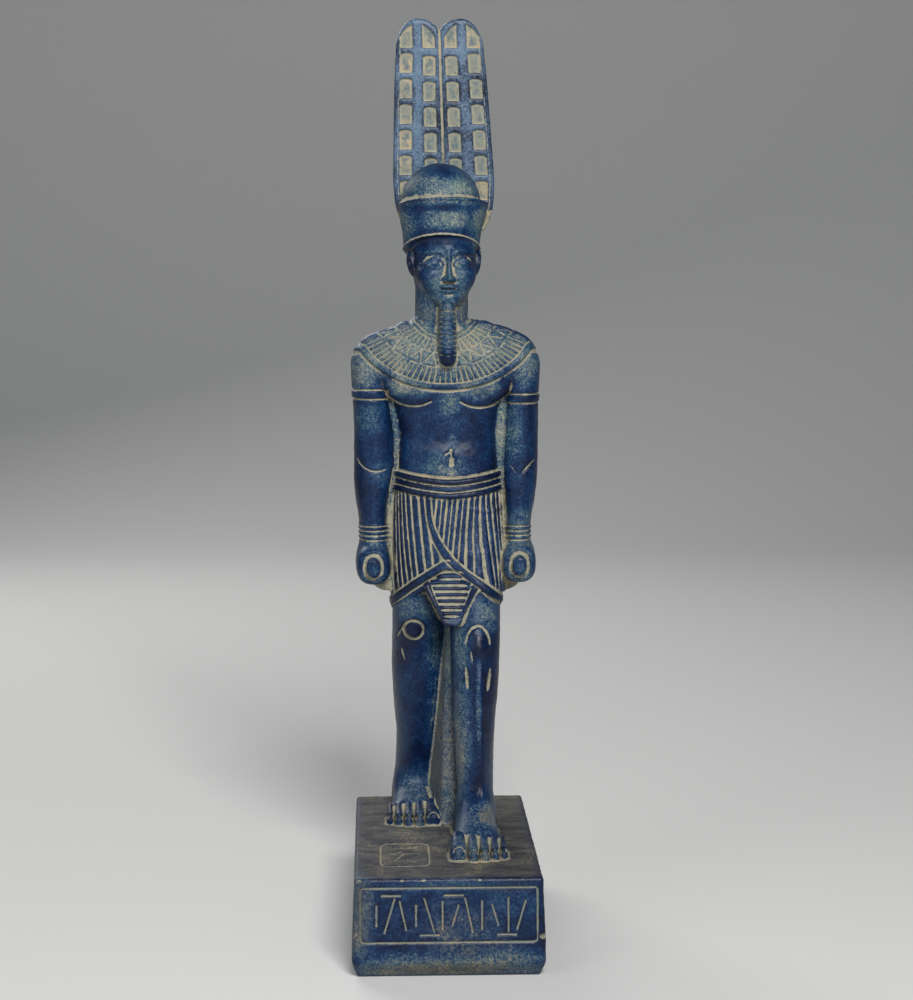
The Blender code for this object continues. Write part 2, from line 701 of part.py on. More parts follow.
LADDER_LOW = 97.0
LADDER_PITCH = 2.65
BORDER = 1.4
BORDER_WIDENS = 0.15


def tab_carving(x, z):
    """A ladder of rungs between two plain borders that widen upwards."""
    inset = tab_half(z) - np.abs(x - TAB_MIDDLE) - BORDER - BORDER_WIDENS * np.maximum(z - LADDER_LOW, 0.0)
    ladder = stripes((z - LADDER_LOW) / LADDER_PITCH, 0.52) * smooth(-0.3, 0.1, inset)
    ladder = ladder * (z > LADDER_LOW - 1.0)
    side = line(inset, 0.65) * (z < 113.0) * smooth(LADDER_LOW - 1.0, LADDER_LOW - 0.3, z)
    return np.minimum(ladder, side)


PLUME_ROW = 11.2
PLUME_ROW_TOP = 344.4
PLUME_CELL_HIGH = 9.0
PLUME_CELL_HALF = 2.95
PLUME_COLUMN = 0.505
PLUME_TIP_CELL = 346.2


def plume_carving(x, y, z):
    middle, outer = plume_lines(z)
    half = outer / 2.0
    plume = np.abs(x - middle) - half
    from_middle = np.abs(np.abs(plume) - half * PLUME_COLUMN)
    arch = 0.9 * np.minimum(from_middle / PLUME_CELL_HALF, 1.2) ** 3
    row = (PLUME_ROW_TOP - 1.2 * (plume < 0.0) - z) / PLUME_ROW
    in_row = (row - np.floor(row)) * PLUME_ROW
    from_row = np.minimum(in_row - arch, PLUME_CELL_HIGH - in_row)
    top_edge = PLUME_SHOULDER + PLUME_CROWN * np.sqrt(np.clip(1.0 - (plume / half) ** 2, 0.0, 1.0))
    tip = np.minimum(z - PLUME_TIP_CELL, top_edge - 2.2 - z)
    from_row = np.where(z > PLUME_TIP_CELL - 1.0, tip, from_row)
    cell = np.minimum(from_row, PLUME_CELL_HALF - from_middle)
    sunk = -1.3 * smooth(-0.2, 0.45, cell)
    rib = 0.3 * smooth(1.9, 1.3, np.abs(plume))
    edge = 0.8 * line(half - np.abs(plume) - 1.9, 0.6) * (plume > 0.0)
    parting = 1.2 * line(x - middle, 0.9)
    front = smooth(PLUME_FRONT + 3.0, PLUME_FRONT + 2.0, y)
    return (np.minimum(sunk + rib, edge) + parting) * front


def cap_carving(x, y, z):
    low, high = cap_heights(y)
    return 0.8 * smooth(high - 1.3, high - 0.9, z) + 0.3 * smooth(low + 0.9, low + 0.4, z)


def face_carving(across, back, z):
    """Lids, brows, the line of the mouth and the nostrils."""
    side = np.abs(across)
    share = np.clip((side - EYE_APART) / EYE_HALF, -1.0, 1.0)
    bow = 1.0 - share * share
    upper = z - (EYE_LINE + 0.1 + 2.1 * bow)
    lower = z - (EYE_LINE - 1.6 * bow)
    by_eye = smooth(EYE_HALF + 1.0, EYE_HALF, np.abs(side - EYE_APART))
    lids = 0.75 * smooth(0.8, 0.3, np.abs(upper - 0.4)) + 0.5 * smooth(0.75, 0.25, np.abs(lower + 0.35))
    tail = 0.7 * smooth(0.6, 0.25, np.abs(z - EYE_LINE - 0.1)) * smooth(9.6, 10.1, side)
    tail = tail * smooth(12.2, 11.4, side)
    brow_line = 256.3 + 1.2 * np.cos((side - 5.8) / 4.4) - 1.2
    brow = 0.6 * smooth(0.9, 0.4, np.abs(z - brow_line)) * smooth(1.8, 2.8, side) * smooth(12.4, 11.2, side)
    mouth = 0.8 * line(z - 240.5 - 0.03 * across * across, 0.42) * smooth(4.6, 3.2, side)
    nostril = -0.8 * smooth(0.8, 0.45, np.hypot(side - 1.1, (z - 243.4) * 1.4))
    front = back < -8.0
    return (lids * by_eye + tail + brow + mouth + nostril) * front


def beard_carving(z):
    return 0.7 * stripes((z - 212.0) / 2.1, 0.34) * (z > 211.0) * (z < 233.6)


def arm_carving(x, z, left_side):
    """Armlet, bracelet and the crease at the elbow."""
    if left_side:
        armlet = bands(z, (195.9, 191.9), 0.6) + 0.35 * smooth(191.6, 192.2, z) * smooth(196.2, 195.6, z)
        crease = 0.9 * line(np.hypot(x + 29.2, (z - 170.2) * 0.92) - 9.6, 0.6)
        crease = crease * smooth(167.0, 163.0, z) * smooth(-23.0, -26.5, x)
    else:
        armlet = bands(z, (194.0, 190.0), 0.6) + 0.35 * smooth(189.7, 190.3, z) * smooth(194.3, 193.7, z)
        crease = 1.1 * stroke(x, z, (35.2, 158.8), (41.6, 165.2), 0.8, 0.8)
        crease = np.minimum(crease, 0.6 * stroke(x, z, (33.8, 158.6), (29.0, 164.0), 0.6, 0.8))
    bracelet = 0.5 * smooth(127.9, 128.6, z) * smooth(136.2, 135.5, z)
    bracelet = bracelet + bands(z, (128.9, 131.0, 133.1, 135.2), 0.6)
    return armlet + crease + bracelet


def fist_carving(x, y, z, fist):
    """The hollow round the end of the rod."""
    across = np.abs(x - fist[0])
    up = np.abs(z - fist[1])
    hollow = ((across / 4.8) ** 2.6 + (up / 6.4) ** 2.6) ** (1.0 / 2.6)
    rod = np.hypot(across / 3.2, up / 4.3)
    return -1.1 * smooth(1.08, 0.94, hollow) * smooth(1.0, 1.16, rod) * (y < 18.0)


def chest_carving(x, z):
    """The lower edges of the breast, a shallow furrow down the belly, and the navel."""
    furrow = -0.35 * smooth(3.4, 0.0, np.abs(x - 4.0)) * smooth(166.0, 174.0, z) * smooth(196.0, 182.0, z)
    navel = 1.6 * stroke(x, z, (4.0, 163.4), (4.0, 165.6), 1.9)
    for start, end, width in NAVEL_TOP:
        navel = np.minimum(navel, stroke(x, z, start, end, width))
    relief = furrow + navel
    beside = (smooth(BREASTBONE[0], BREASTBONE[0] - 5.0, x), smooth(BREASTBONE[1], BREASTBONE[1] + 5.0, x))
    for own, (middle_x, middle_y, middle_z) in zip(beside, CHEST):
        inwards = CHEST_EDGE - np.hypot(x - middle_x, z - middle_z)
        own = own * smooth(199.0, 196.0, z)
        full = 1.4 * smooth(-0.2, 0.7, inwards) * smooth(7.0, 0.0, inwards)
        relief = relief + own * (full + 0.6 * line(inwards + 0.5, 0.6))
    return relief


KNEE_TEARS = [(10.3, -0.07, 64.4), (20.0, 0.14, 63.4)]


def knee_carving(x, y, z):
    """A round boss on the rear knee, and the arch and the two hollows of the front one."""
    boss = np.hypot(x + 12.8, z - 88.4)
    rear = 0.9 * smooth(3.9, 3.2, boss) + 1.2 * line(boss - 4.4, 0.9)
    rear = rear + 0.8 * stroke(x, z, (-17.0, 90.6), (-20.2, 83.8), 0.7, 0.6)
    rear = rear + 0.7 * stroke(x, z, (-18.4, 80.0), (-16.6, 72.4), 0.8, 0.9)
    arch = np.hypot((x - 15.2) / 5.3, (z - 84.0) / 8.6)
    front = 1.0 * line((arch - 1.0) * 5.3, 0.8) * smooth(82.0, 88.0, z)
    front = front + 0.7 * stroke(x, z, (11.9, 83.0), (13.0, 75.8), 0.7, 0.9)
    for middle, lean, low in KNEE_TEARS:
        offset = x - middle - (z - low - 5.4) * lean
        full = smooth(low - 1.0, low + 4.0, z) * smooth(low + 13.0, low + 7.0, z)
        front = front + 1.3 * full * line(offset, 0.2 + 0.9 * full)
    return np.where(x < 1.0, rear, front * (y < 12.0)) * (y < 34.0)


NAIL_HALF = 0.33
NAIL_LOW = 0.46
NAIL_RISE = 0.34


def toe_carving(x, y, z, foot):
    """The arched upper edge of each nail on the toe's blunt front, and the gaps between the toes."""
    cut = np.zeros_like(x)
    outwards = foot[2]
    for across, tip, width, height in toes(foot):
        gap = x - across - outwards * width / 2.0
        spread = 0.42 + 0.75 * smooth(tip + 4.5, tip + 7.5, y)
        between = line(gap, spread) * smooth(tip + 11.4, tip + 9.0, y) * (outwards * (across - foot[0]) < 8.0)
        cut = np.minimum(cut, 1.3 * between)
        half = width * NAIL_HALF
        nail = (np.hypot((x - across) / half, (z - height * NAIL_LOW) / (height * NAIL_RISE)) - 1.0) * half
        arch = line(nail, 0.55) * smooth(height * NAIL_LOW - 0.4, height * NAIL_LOW + 0.4, z)
        cut = np.minimum(cut, 1.1 * arch * (y < tip + 2.0))
    return cut


PANEL_HALF = PANEL_WIDTH / UNIT / 2.0
PANEL_MIDDLE = -15.3
PANEL_HALF_HIGH = PANEL_HEIGHT / UNIT / 2.0
PANEL_CORNER = 1.6
STROKES_ACROSS = 12
STROKE_LEANS = (0.0, 0.30, -0.22, 0.0, -0.30)
STROKE_HEIGHTS = (4.6, 7.4, 6.2)
DASHES = [(-24.0, 8.2), (2.0, 8.2), (24.0, -8.2), (-8.0, -8.2)]


def frame_line(u, w, half_u, half_w, corner, width):
    """The outline of a rounded rectangle."""
    gap_u = np.maximum(np.abs(u) - half_u + corner, 0.0)
    gap_w = np.maximum(np.abs(w) - half_w + corner, 0.0)
    over = np.maximum(np.abs(u) - half_u, np.abs(w) - half_w)
    away = np.where((gap_u > 0.0) & (gap_w > 0.0), np.hypot(gap_u, gap_w) - corner, over)
    return line(away, width)


def panel_carving(x, z):
    """A rounded frame on the front of the plinth with a row of plain strokes in it."""
    height = z - PANEL_MIDDLE
    cut = frame_line(x, height, PANEL_HALF, PANEL_HALF_HIGH, PANEL_CORNER, 0.65)
    pitch = (2.0 * PANEL_HALF - 8.0) / STROKES_ACROSS
    for number in range(STROKES_ACROSS):
        middle = -PANEL_HALF + 4.0 + (number + 0.5) * pitch
        lean = STROKE_LEANS[number % len(STROKE_LEANS)]
        tall = STROKE_HEIGHTS[number % len(STROKE_HEIGHTS)]
        offset = x - middle - lean * height
        bar = line(offset / np.hypot(1.0, lean), 0.65) * (np.abs(height) < tall)
        cut = np.minimum(cut, bar)
    for middle, level in DASHES:
        cut = np.minimum(cut, line(height - level, 0.65) * (np.abs(x - middle) < 4.2))
    return cut


MARK = (-17.8, -32.5)
MARK_HALF = (10.4, 17.6)
MARK_STRETCH = 2.6
MARK_STROKES = [((-4.6, 4.1), (5.4, 4.3)), ((-6.0, 0.2), (-1.4, 1.8)), ((0.6, 0.4), (6.4, 0.9)),
                ((-4.6, -3.6), (-0.6, 0.4)), ((0.8, -3.2), (4.6, -4.4))]


def mark_carving(x, y):
    """A faint rounded frame on top of the plinth, with short strokes in it."""
    u = x - MARK[0]
    w = (y - MARK[1]) / MARK_STRETCH
    cut = frame_line(u, w, MARK_HALF[0], MARK_HALF[1] / MARK_STRETCH, 2.6, 0.5)
    for start, end in MARK_STROKES:
        cut = np.minimum(cut, stroke(u, w, start, end, 0.4))
    return 0.7 * cut


def clear_of_pillar(x, y, z):
    return pillar(x, y, z) > 1.4


def skirt_carving(x, y, z):
    """The kilt's belt, pleats and bands, and the tab's ladder."""
    cloth = kilt(x, y, z)
    arms = np.minimum(left_side_arm(x, y, z), right_side_arm(x, y, z))
    on_tab = (z < 116.5) & (z > TAB_LOW) & (tab(x, y, z) < np.minimum(cloth, 1.4)) & (y < 14.0)
    on_kilt = (cloth < np.minimum(arms, 1.4)) & (z > hem(x, y) + 0.2) & clear_of_pillar(x, y, z)
    relief = np.where(on_kilt & ~on_tab, kilt_carving(x, y, z), 0.0)
    knee = (z < 95.0) & (y < 34.0) & ~on_tab
    return relief + np.where(on_tab, tab_carving(x, z), np.where(knee, knee_carving(x, y, z), 0.0))


def crown_carving(x, y, z):
    """The edges of the cap and the lattice of the plumes."""
    low, high = cap_heights(y)
    feathers = plumes(x, y, z)
    on_cap = (z > low - 1.0) & (z < high + 1.5) & (z < 284.0) & (y < 46.0)
    on_cap = on_cap & (cap(x, y, z) < np.minimum(feathers, 1.4))
    on_plumes = (y > 34.0) & (y < 40.0) & (z > PLUME_LOW + 2.0) & (dome(x, y, z) > 1.0)
    return np.where(on_cap, cap_carving(x, y, z), np.where(on_plumes, plume_carving(x, y, z), 0.0))


def head_carving(x, y, z):
    """The face, and the fillet on the brow under the cap."""
    across, back = head_space(x, y)
    low = cap_heights(y)[0]
    fillet = 0.6 * smooth(low - FILLET_HIGH - 0.2, low - FILLET_HIGH + 0.2, z)
    return np.where((z < low) & (back < -8.0), face_carving(across, back, z), 0.0) + fillet * (z < low + 0.4)


def shoulder_carving(x, y, z):
    """The beard's rings and the collar."""
    on_beard = (np.abs(x - 2.3) < 4.9) & (y < 14.0)
    worn = (z > 192.0) & clear_of_pillar(x, y, z)
    return np.where(on_beard, beard_carving(z), np.where(worn, collar(x, y, z), 0.0))


def breast_carving(x, y, z):
    return np.where(torso(x, y, z) < 1.2, chest_carving(x, z), 0.0)


def left_arm_carving(x, y, z):
    return np.where(left_side_arm(x, y, z) < 1.2, arm_carving(x, z, True), 0.0)


def right_arm_carving(x, y, z):
    return np.where(right_side_arm(x, y, z) < 1.2, arm_carving(x, z, False), 0.0)


def carving(x, y, z):
    """The height of the carving at points near the surface, in units."""
    height = np.zeros_like(x)

    def carve(where, relief, *values):
        if where.any():
            height[where] += relief(*(value[where] for value in values))

    def above(low, high):
        return (z > low) & (z < high)

    carve(above(60.0, 164.0) & (x > -24.5) & (x < 29.5), skirt_carving, x, y, z)
    carve(above(245.0, 362.0) & (y < 46.0), crown_carving, x, y, z)
    carve(above(237.0, 265.0) & (y < 31.0), head_carving, x, y, z)
    carve(above(192.0, 233.0), shoulder_carving, x, y, z)
    carve(above(160.0, 200.0) & (y < 24.0) & (x > -23.5) & (x < 30.0), breast_carving, x, y, z)
    carve(above(126.0, 198.0) & (x < -22.5) & (y < 46.0), left_arm_carving, x, y, z)
    carve(above(126.0, 198.0) & (x > 27.6) & (y < 46.0), right_arm_carving, x, y, z)
    fists = above(105.0, 127.0) & (y < 18.0)
    carve(fists & (x < -22.0), lambda a, b, c: fist_carving(a, b, c, LEFT_SIDE_FIST), x, y, z)
    carve(fists & (x > 27.0), lambda a, b, c: fist_carving(a, b, c, RIGHT_SIDE_FIST), x, y, z)
    carve(above(0.5, 13.0) & (y < -29.0), lambda a, b, c: toe_carving(a, b, c, FRONT_FOOT), x, y, z)
    rear = above(0.5, 13.0) & (y > 10.0) & (y < 29.0) & (x < 0.0)
    carve(rear, lambda a, b, c: toe_carving(a, b, c, REAR_FOOT), x, y, z)
    carve((z < -3.0) & (y < -PLINTH_BACK + 3.0), panel_carving, x, z)
    carve(above(-1.5, 1.0) & (y < -12.0) & (x < -5.0), mark_carving, x, y)
    return height * DEPTH


# Each form with the corners of the space that it can reach, and how far it blends into the stone

FORMS = [
    (plinth, (-44.0, -74.0, -43.0), (44.0, 74.0, 2.0), 0.1),
    (pillar, (-12.0, 40.0, -3.0), (15.0, 69.0, 295.0), 1.0),
    (rear_leg, (-31.0, 8.0, -4.0), (8.0, 74.0, 128.0), 1.0),
    (front_leg, (-4.0, -50.0, -4.0), (31.0, 48.0, 128.0), 1.0),
    (leg_web, (-14.0, 8.0, -4.0), (20.0, 62.0, 114.0), 2.2),
    (rear_toes, (-31.0, 8.0, -4.0), (4.0, 40.0, 18.0), 0.6),
    (front_toes, (-4.0, -52.0, -4.0), (31.0, -24.0, 18.0), 0.6),
    (kilt, (-29.0, -3.0, 82.0), (34.0, 57.0, 168.0), 0.6),
    (tab, (-16.0, -4.0, 88.0), (24.0, 28.0, 121.0), 0.4),
    (torso, (-46.0, 6.0, 142.0), (50.0, 56.0, 232.0), 1.0),
    (arm_web, (-40.0, 22.0, 100.0), (44.0, 48.0, 208.0), 2.0),
    (left_side_arm, (-46.0, 4.0, 100.0), (-15.0, 50.0, 219.0), 1.6),
    (right_side_arm, (21.0, 4.0, 100.0), (50.0, 50.0, 219.0), 1.6),
    (cap, (-24.0, 6.0, 244.0), (26.0, 55.0, 288.0), 0.4),
    (dome, (-22.0, 8.0, 272.0), (24.0, 54.0, 300.0), 0.5),
    (plumes, (-28.0, 32.0, 260.0), (28.0, 52.0, 364.0), 0.6),
    (head, (-20.0, 4.0, 226.0), (22.0, 54.0, 272.0), 0.5),
    (ears, (-22.0, 18.0, 240.0), (24.0, 42.0, 262.0), 0.6),
    (neck, (-22.0, 10.0, 214.0), (24.0, 52.0, 249.0), 2.0),
    (beard, (-5.0, 3.0, 203.0), (10.0, 28.0, 240.0), 0.8),
]
LOW = np.array([-48.0, -76.0, -45.0])
HIGH = np.array([51.0, 76.0, 365.0])


def quarry():
    """The stone as a grid of distances, below zero inside, with the carving cut into its surface."""
    size = np.ceil((HIGH - LOW) / STEP).astype(int)
    field = np.full(size, FAR, np.float32)
    for form, low, high, blend in FORMS:
        start = np.clip(((np.array(low) - LOW) / STEP).astype(int), 0, size)
        end = np.clip(np.ceil((np.array(high) - LOW) / STEP).astype(int), 0, size)
        box = tuple(slice(a, b) for a, b in zip(start, end))
        x, y, z = (np.arange(a, b) * STEP + c for a, b, c in zip(start, end, LOW))
        distance = form(x[:, None, None], y[None, :, None], z[None, None, :]).astype(np.float32)
        field[box] = np.clip(soft_min(field[box], distance, blend), -FAR, FAR)
    inner = field[1:-1, 1:-1, 1:-1]
    near = np.nonzero(np.abs(inner) < 2.4 * DEPTH + 1.5 * STEP)
    x, y, z = ((index + 1) * STEP + low for index, low in zip(near, LOW))
    slopes = []
    for axis in range(3):
        ahead = tuple(index + (2 if k == axis else 1) for k, index in enumerate(near))
        behind = tuple(index + (0 if k == axis else 1) for k, index in enumerate(near))
        slopes.append((field[ahead] - field[behind]) / (2.0 * STEP))
    steep = np.clip(np.sqrt(sum(slope**2 for slope in slopes)), 0.3, 1.6)
    inner[near] -= (carving(x, y, z) * steep).astype(np.float32)
    return field


def surface(field):
    """The skin of the stone as a mesh, in metres, with its underside flat on the ground."""
    grid = openvdb.FloatGrid(FAR)
    grid.copyFromArray(field)
    points, quads = grid.convertToQuads(0.0)
    points = points.astype(float) * STEP + LOW
    points[:, 2] -= PLINTH_LOW
    points[:, 2] = np.where(points[:, 2] < 0.2, 0.0, points[:, 2])
    mesh = bpy.data.meshes.new("amun_statue")
    mesh.from_pydata(points * UNIT, [], quads.tolist())
    mesh.validate()
    return mesh


def keep_largest_body(mesh):
    """Drops any crumb of stone that the carving has cut loose."""
    shape = bmesh.new()
    shape.from_mesh(mesh)
    bodies = []
    waiting = set(shape.verts)
    while waiting:
        body = {waiting.pop()}
        edge = list(body)
        while edge:
            found = {other.other_vert(vert) for vert in edge for other in vert.link_edges} - body
            body |= found
            edge = list(found)
        waiting -= body
        bodies.append(body)
    bodies.sort(key=len)
    for body in bodies[:-1]:
        bmesh.ops.delete(shape, geom=list(body), context="VERTS")
    shape.to_mesh(mesh)
    shape.free()


def stone():
    material = bpy.data.materials.new("blue_stone")
    material.use_nodes = True
    shader = material.node_tree.nodes["Principled BSDF"]
    shader.inputs["Base Color"].default_value = STONE_COLOUR
    shader.inputs["Roughness"].default_value = STONE_ROUGHNESS
    shader.inputs["Metallic"].default_value = 0.0
    material.diffuse_color = STONE_COLOUR
    return material


def main():
    for old in list(bpy.data.objects):
        bpy.data.objects.remove(old)
    parts = bpy.data.collections.new("amun_statue")
    bpy.context.scene.collection.children.link(parts)
    mesh = surface(quarry())
    keep_largest_body(mesh)
    statue = bpy.data.objects.new("amun_statue", mesh)
    parts.objects.link(statue)
    mesh.materials.append(stone())
    thinning = statue.modifiers.new("thinning", "DECIMATE")
    thinning.ratio = MOST_TRIANGLES / (2.0 * len(mesh.polygons))


main()
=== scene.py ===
"""The looks of the amun statue: finer stone than the solids carry, its blue and cream finish, and the studio.

The statue is worked out again on a finer grid from the same forms as its solids, with a hand-cast
unevenness and small chips added, and is then parted at level cuts into pieces that follow each other
without a seam. How deep a point lies in a groove or hollow says where the cream filler has stayed,
and where shade is painted into the body's hollows.
"""

import math

import bpy
import numpy as np
import openvdb
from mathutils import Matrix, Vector


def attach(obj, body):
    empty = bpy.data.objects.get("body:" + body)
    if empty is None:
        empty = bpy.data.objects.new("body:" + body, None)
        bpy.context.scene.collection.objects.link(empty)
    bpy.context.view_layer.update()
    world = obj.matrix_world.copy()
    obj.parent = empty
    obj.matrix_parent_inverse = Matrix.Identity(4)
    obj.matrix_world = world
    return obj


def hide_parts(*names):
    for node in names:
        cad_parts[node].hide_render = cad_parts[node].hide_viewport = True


# Driving dimensions, in metres
PLINTH_WIDTH = 0.0784
PLINTH_DEPTH = 0.140
PLINTH_HEIGHT = 0.042
FIGURE_HEIGHT = 0.3595
PANEL_WIDTH = 0.0735
PANEL_HEIGHT = 0.0227
CARVING_DEPTH = 0.0008
GRID_STEP = 0.0004

# The figure's own measure: it is 359.5 units tall, and every height below is above the plinth's top
UNITS_TALL = 359.5
UNIT = FIGURE_HEIGHT / UNITS_TALL
DEPTH = CARVING_DEPTH / UNIT
STEP = GRID_STEP / UNIT
FAR = 4.0

# Where the figure stands on the plinth, and how it is turned
MIDDLE_X = 1.5
MIDDLE_Y = 31.0
HEAD_X = 1.1
HEAD_TURN = np.radians(6.0)


def smooth(low, high, value):
    """0 below low, 1 above high and an S-shaped rise between them."""
    share = np.clip((value - low) / (high - low), 0.0, 1.0)
    return share * share * (3.0 - 2.0 * share)


def soft_min(first, second, blend):
    """The smaller of two distances, with the corner between them filled over the blend's width."""
    share = np.clip(0.5 + 0.5 * (second - first) / blend, 0.0, 1.0)
    return second + (first - second) * share - blend * share * (1.0 - share)


def soft_max(first, second, blend):
    return -soft_min(-first, -second, blend)


def flow(along, stations, column):
    """A smooth curve through one column of the stations, which never overshoots them."""
    at = stations[:, 0]
    value = stations[:, column]
    rise = np.diff(value) / np.diff(at)
    slope = np.zeros(len(at))
    same_way = rise[:-1] * rise[1:] > 0.0
    slope[1:-1][same_way] = (2.0 * rise[:-1] * rise[1:])[same_way] / (rise[:-1] + rise[1:])[same_way]
    slope[0] = rise[0]
    slope[-1] = rise[-1]
    inside = np.clip(along, at[0], at[-1])
    left = np.clip(np.searchsorted(at, inside, side="right") - 1, 0, len(at) - 2)
    width = at[left + 1] - at[left]
    share = (inside - at[left]) / width
    start = (1.0 + 2.0 * share) * (1.0 - share) ** 2 * value[left]
    end = share**2 * (3.0 - 2.0 * share) * value[left + 1]
    lean = share * (1.0 - share) * width * ((1.0 - share) * slope[left] - share * slope[left + 1])
    return start + end + lean


def pile(across, depth, along, stations, power=2.4, ends=1.5):
    """Distance to a pile of rounded sections. A station is (along, left, right, front, back)."""
    stations = np.asarray(stations, float)
    left, right, front, back = (flow(along, stations, column) for column in (1, 2, 3, 4))
    half_across = (right - left) / 2.0
    half_depth = (back - front) / 2.0
    u = np.abs(across - (left + right) / 2.0) / half_across + 1e-4
    v = np.abs(depth - (front + back) / 2.0) / half_depth + 1e-4
    reach = (u**power + v**power) ** (1.0 / power)
    steep = np.hypot(u ** (power - 1.0) / half_across, v ** (power - 1.0) / half_depth)
    side = (reach - 1.0) * reach ** (power - 1.0) / steep
    end = np.maximum(stations[0, 0] - along, along - stations[-1, 0])
    return soft_max(side, end, ends)


def ball(x, y, z, centre, radii):
    """Distance to an ellipsoid."""
    u = (x - centre[0]) / radii[0]
    v = (y - centre[1]) / radii[1]
    w = (z - centre[2]) / radii[2]
    reach = np.sqrt(u * u + v * v + w * w) + 1e-4
    steep = np.sqrt((u / radii[0]) ** 2 + (v / radii[1]) ** 2 + (w / radii[2]) ** 2) + 1e-4
    return (reach - 1.0) * reach / steep


def block(x, y, z, low, high, radius):
    """Distance to a box with rounded edges."""
    gaps = []
    for value, start, end in zip((x, y, z), low, high):
        gaps.append(np.abs(value - (start + end) / 2.0) - (end - start) / 2.0 + radius)
    outside = np.sqrt(sum(np.maximum(gap, 0.0) ** 2 for gap in gaps))
    inside = np.minimum(np.maximum(np.maximum(gaps[0], gaps[1]), gaps[2]), 0.0)
    return outside + inside - radius


# The plinth and the pillar

PLINTH_HALF = PLINTH_WIDTH / UNIT / 2.0
PLINTH_BACK = PLINTH_DEPTH / UNIT / 2.0
PLINTH_LOW = -PLINTH_HEIGHT / UNIT
FLARE = 1.0
WORN_IN = 1.7
EDGE_ROUNDING = 1.6


def plinth(x, y, z):
    widening = FLARE * smooth(0.0, PLINTH_LOW * 0.75, z)
    half = PLINTH_HALF + widening - WORN_IN * smooth(PLINTH_LOW + 7.0, PLINTH_LOW, z)
    return block(x / half * PLINTH_HALF, y / half * PLINTH_HALF, z,
                 (-PLINTH_HALF, -PLINTH_BACK, PLINTH_LOW), (PLINTH_HALF, PLINTH_BACK, 0.0), EDGE_ROUNDING)


PILLAR_HALF = 11.0
PILLAR_FRONT = 44.0
PILLAR_BACK = 66.0
PILLAR_TOP = 292.0
PILLAR_SLOPE = 0.45


def pillar(x, y, z):
    shaft = block(x, y, z, (MIDDLE_X - PILLAR_HALF, PILLAR_FRONT, -2.0),
                  (MIDDLE_X + PILLAR_HALF, PILLAR_BACK, PILLAR_TOP), 0.8)
    slope = (z - PILLAR_TOP + (y - 46.0) / PILLAR_SLOPE) * PILLAR_SLOPE / np.hypot(1.0, PILLAR_SLOPE)
    return soft_max(shaft, slope, 1.0)


# The legs, and the stone left between them

REAR_LEG = [
    (-2, -21.9, -2, 38, 62), (10, -21.6, -1.8, 39, 61.5), (21, -20.9, -1.6, 37.5, 61.5),
    (35, -20.4, -0.4, 33, 63), (53, -21.7, 1.4, 28.5, 62), (72, -22.5, 3, 25.5, 56.5),
    (86, -22.2, 3.6, 21, 51.5), (100, -22.2, 4, 16.6, 47), (125, -22, 4.4, 14.6, 45),
]
FRONT_LEG = [
    (-2, 5.6, 23.2, -7, 14.5), (10, 5.9, 22.8, -6.5, 15), (21, 6, 22.1, -6, 17.5),
    (35, 5.5, 22.4, -5, 22), (50, 4.4, 23.3, -3, 25.5), (67, 3.9, 24.9, -0.5, 27), (86, 3.7, 25.7, 2, 30),
    (100, 3, 26, 5.5, 36), (125, 2, 26.5, 10, 44),
]
SHIN = [
    (8, 14.6, 17.2, -7.6, 4), (30, 14.9, 17.5, -6.2, 4), (55, 14.6, 17.3, -3.6, 8),
    (68, 14.3, 17.2, -1.6, 10), (80, 14.2, 17, 3.4, 12),
]


def rear_leg(x, y, z):
    return soft_min(pile(x, y, z, REAR_LEG, 2.2), foot_body(x, y, z, REAR_FOOT), 5.0)


def front_leg(x, y, z):
    leg = pile(x, y, z, FRONT_LEG, 2.1)
    shin = pile(x, y, z, SHIN, 2.0)
    kneecap = ball(x, y, z, (15.5, 6.4, 81.6), (4.7, 6.2, 9.3))
    leg = soft_min(soft_min(leg, shin, 4.0), kneecap, 1.5)
    return soft_min(leg, foot_body(x, y, z, FRONT_FOOT), 5.0)


WEB_RISE = 92.0


def leg_web(x, y, z):
    rise = np.clip(z / WEB_RISE, 0.0, 1.0)
    front = 13.5 + 8.0 * rise
    left = -1.0 + 3.6 * rise - (y - front) * (0.20 - 0.04 * rise)
    wall = soft_max(left - x, front - y, 3.0)
    return soft_max(soft_max(wall, x - 14.0, 1.0), np.maximum(y - 58.0, z - 110.0), 1.0)


# The feet

FOOT = [
    (-39, -10.6, 11.4, -6, 3.4), (-35, -11.4, 12, -8, 5.4), (-30, -11.4, 12, -9, 8.6),
    (-24, -10.8, 11.2, -10, 11), (-16, -9.8, 10, -12, 14.4), (-4, -8.6, 8.6, -14, 20),
    (8, -8.2, 8.2, -12, 16), (14, -6.8, 6.8, -9, 9),
]
TOE_WIDTHS = [7.2, 5.0, 4.7, 4.2, 3.4]
TOE_REACH = [0.0, 1.6, 1.2, 0.0, -2.4]
TOE_HEIGHTS = [7.4, 6.6, 6.2, 5.8, 5.2]
FRONT_FOOT = (13.6, 0.0, 1.0, 1.0)
REAR_FOOT = (-12.6, 53.0, -1.0, 0.87)


def toes(foot):
    """The middle, front and size of each toe, from the big toe outwards."""
    middle_x, middle_y, outwards, length = foot
    inner = -12.0
    for width, reach, height in zip(TOE_WIDTHS, TOE_REACH, TOE_HEIGHTS):
        across = middle_x + outwards * (inner + width / 2.0)
        yield across, middle_y - (41.8 + reach) * length, width, height
        inner += width


def foot_body(x, y, z, foot):
    middle_x, middle_y, outwards, length = foot
    return pile((x - middle_x) * outwards, z, (y - middle_y) / length, FOOT, 2.3)


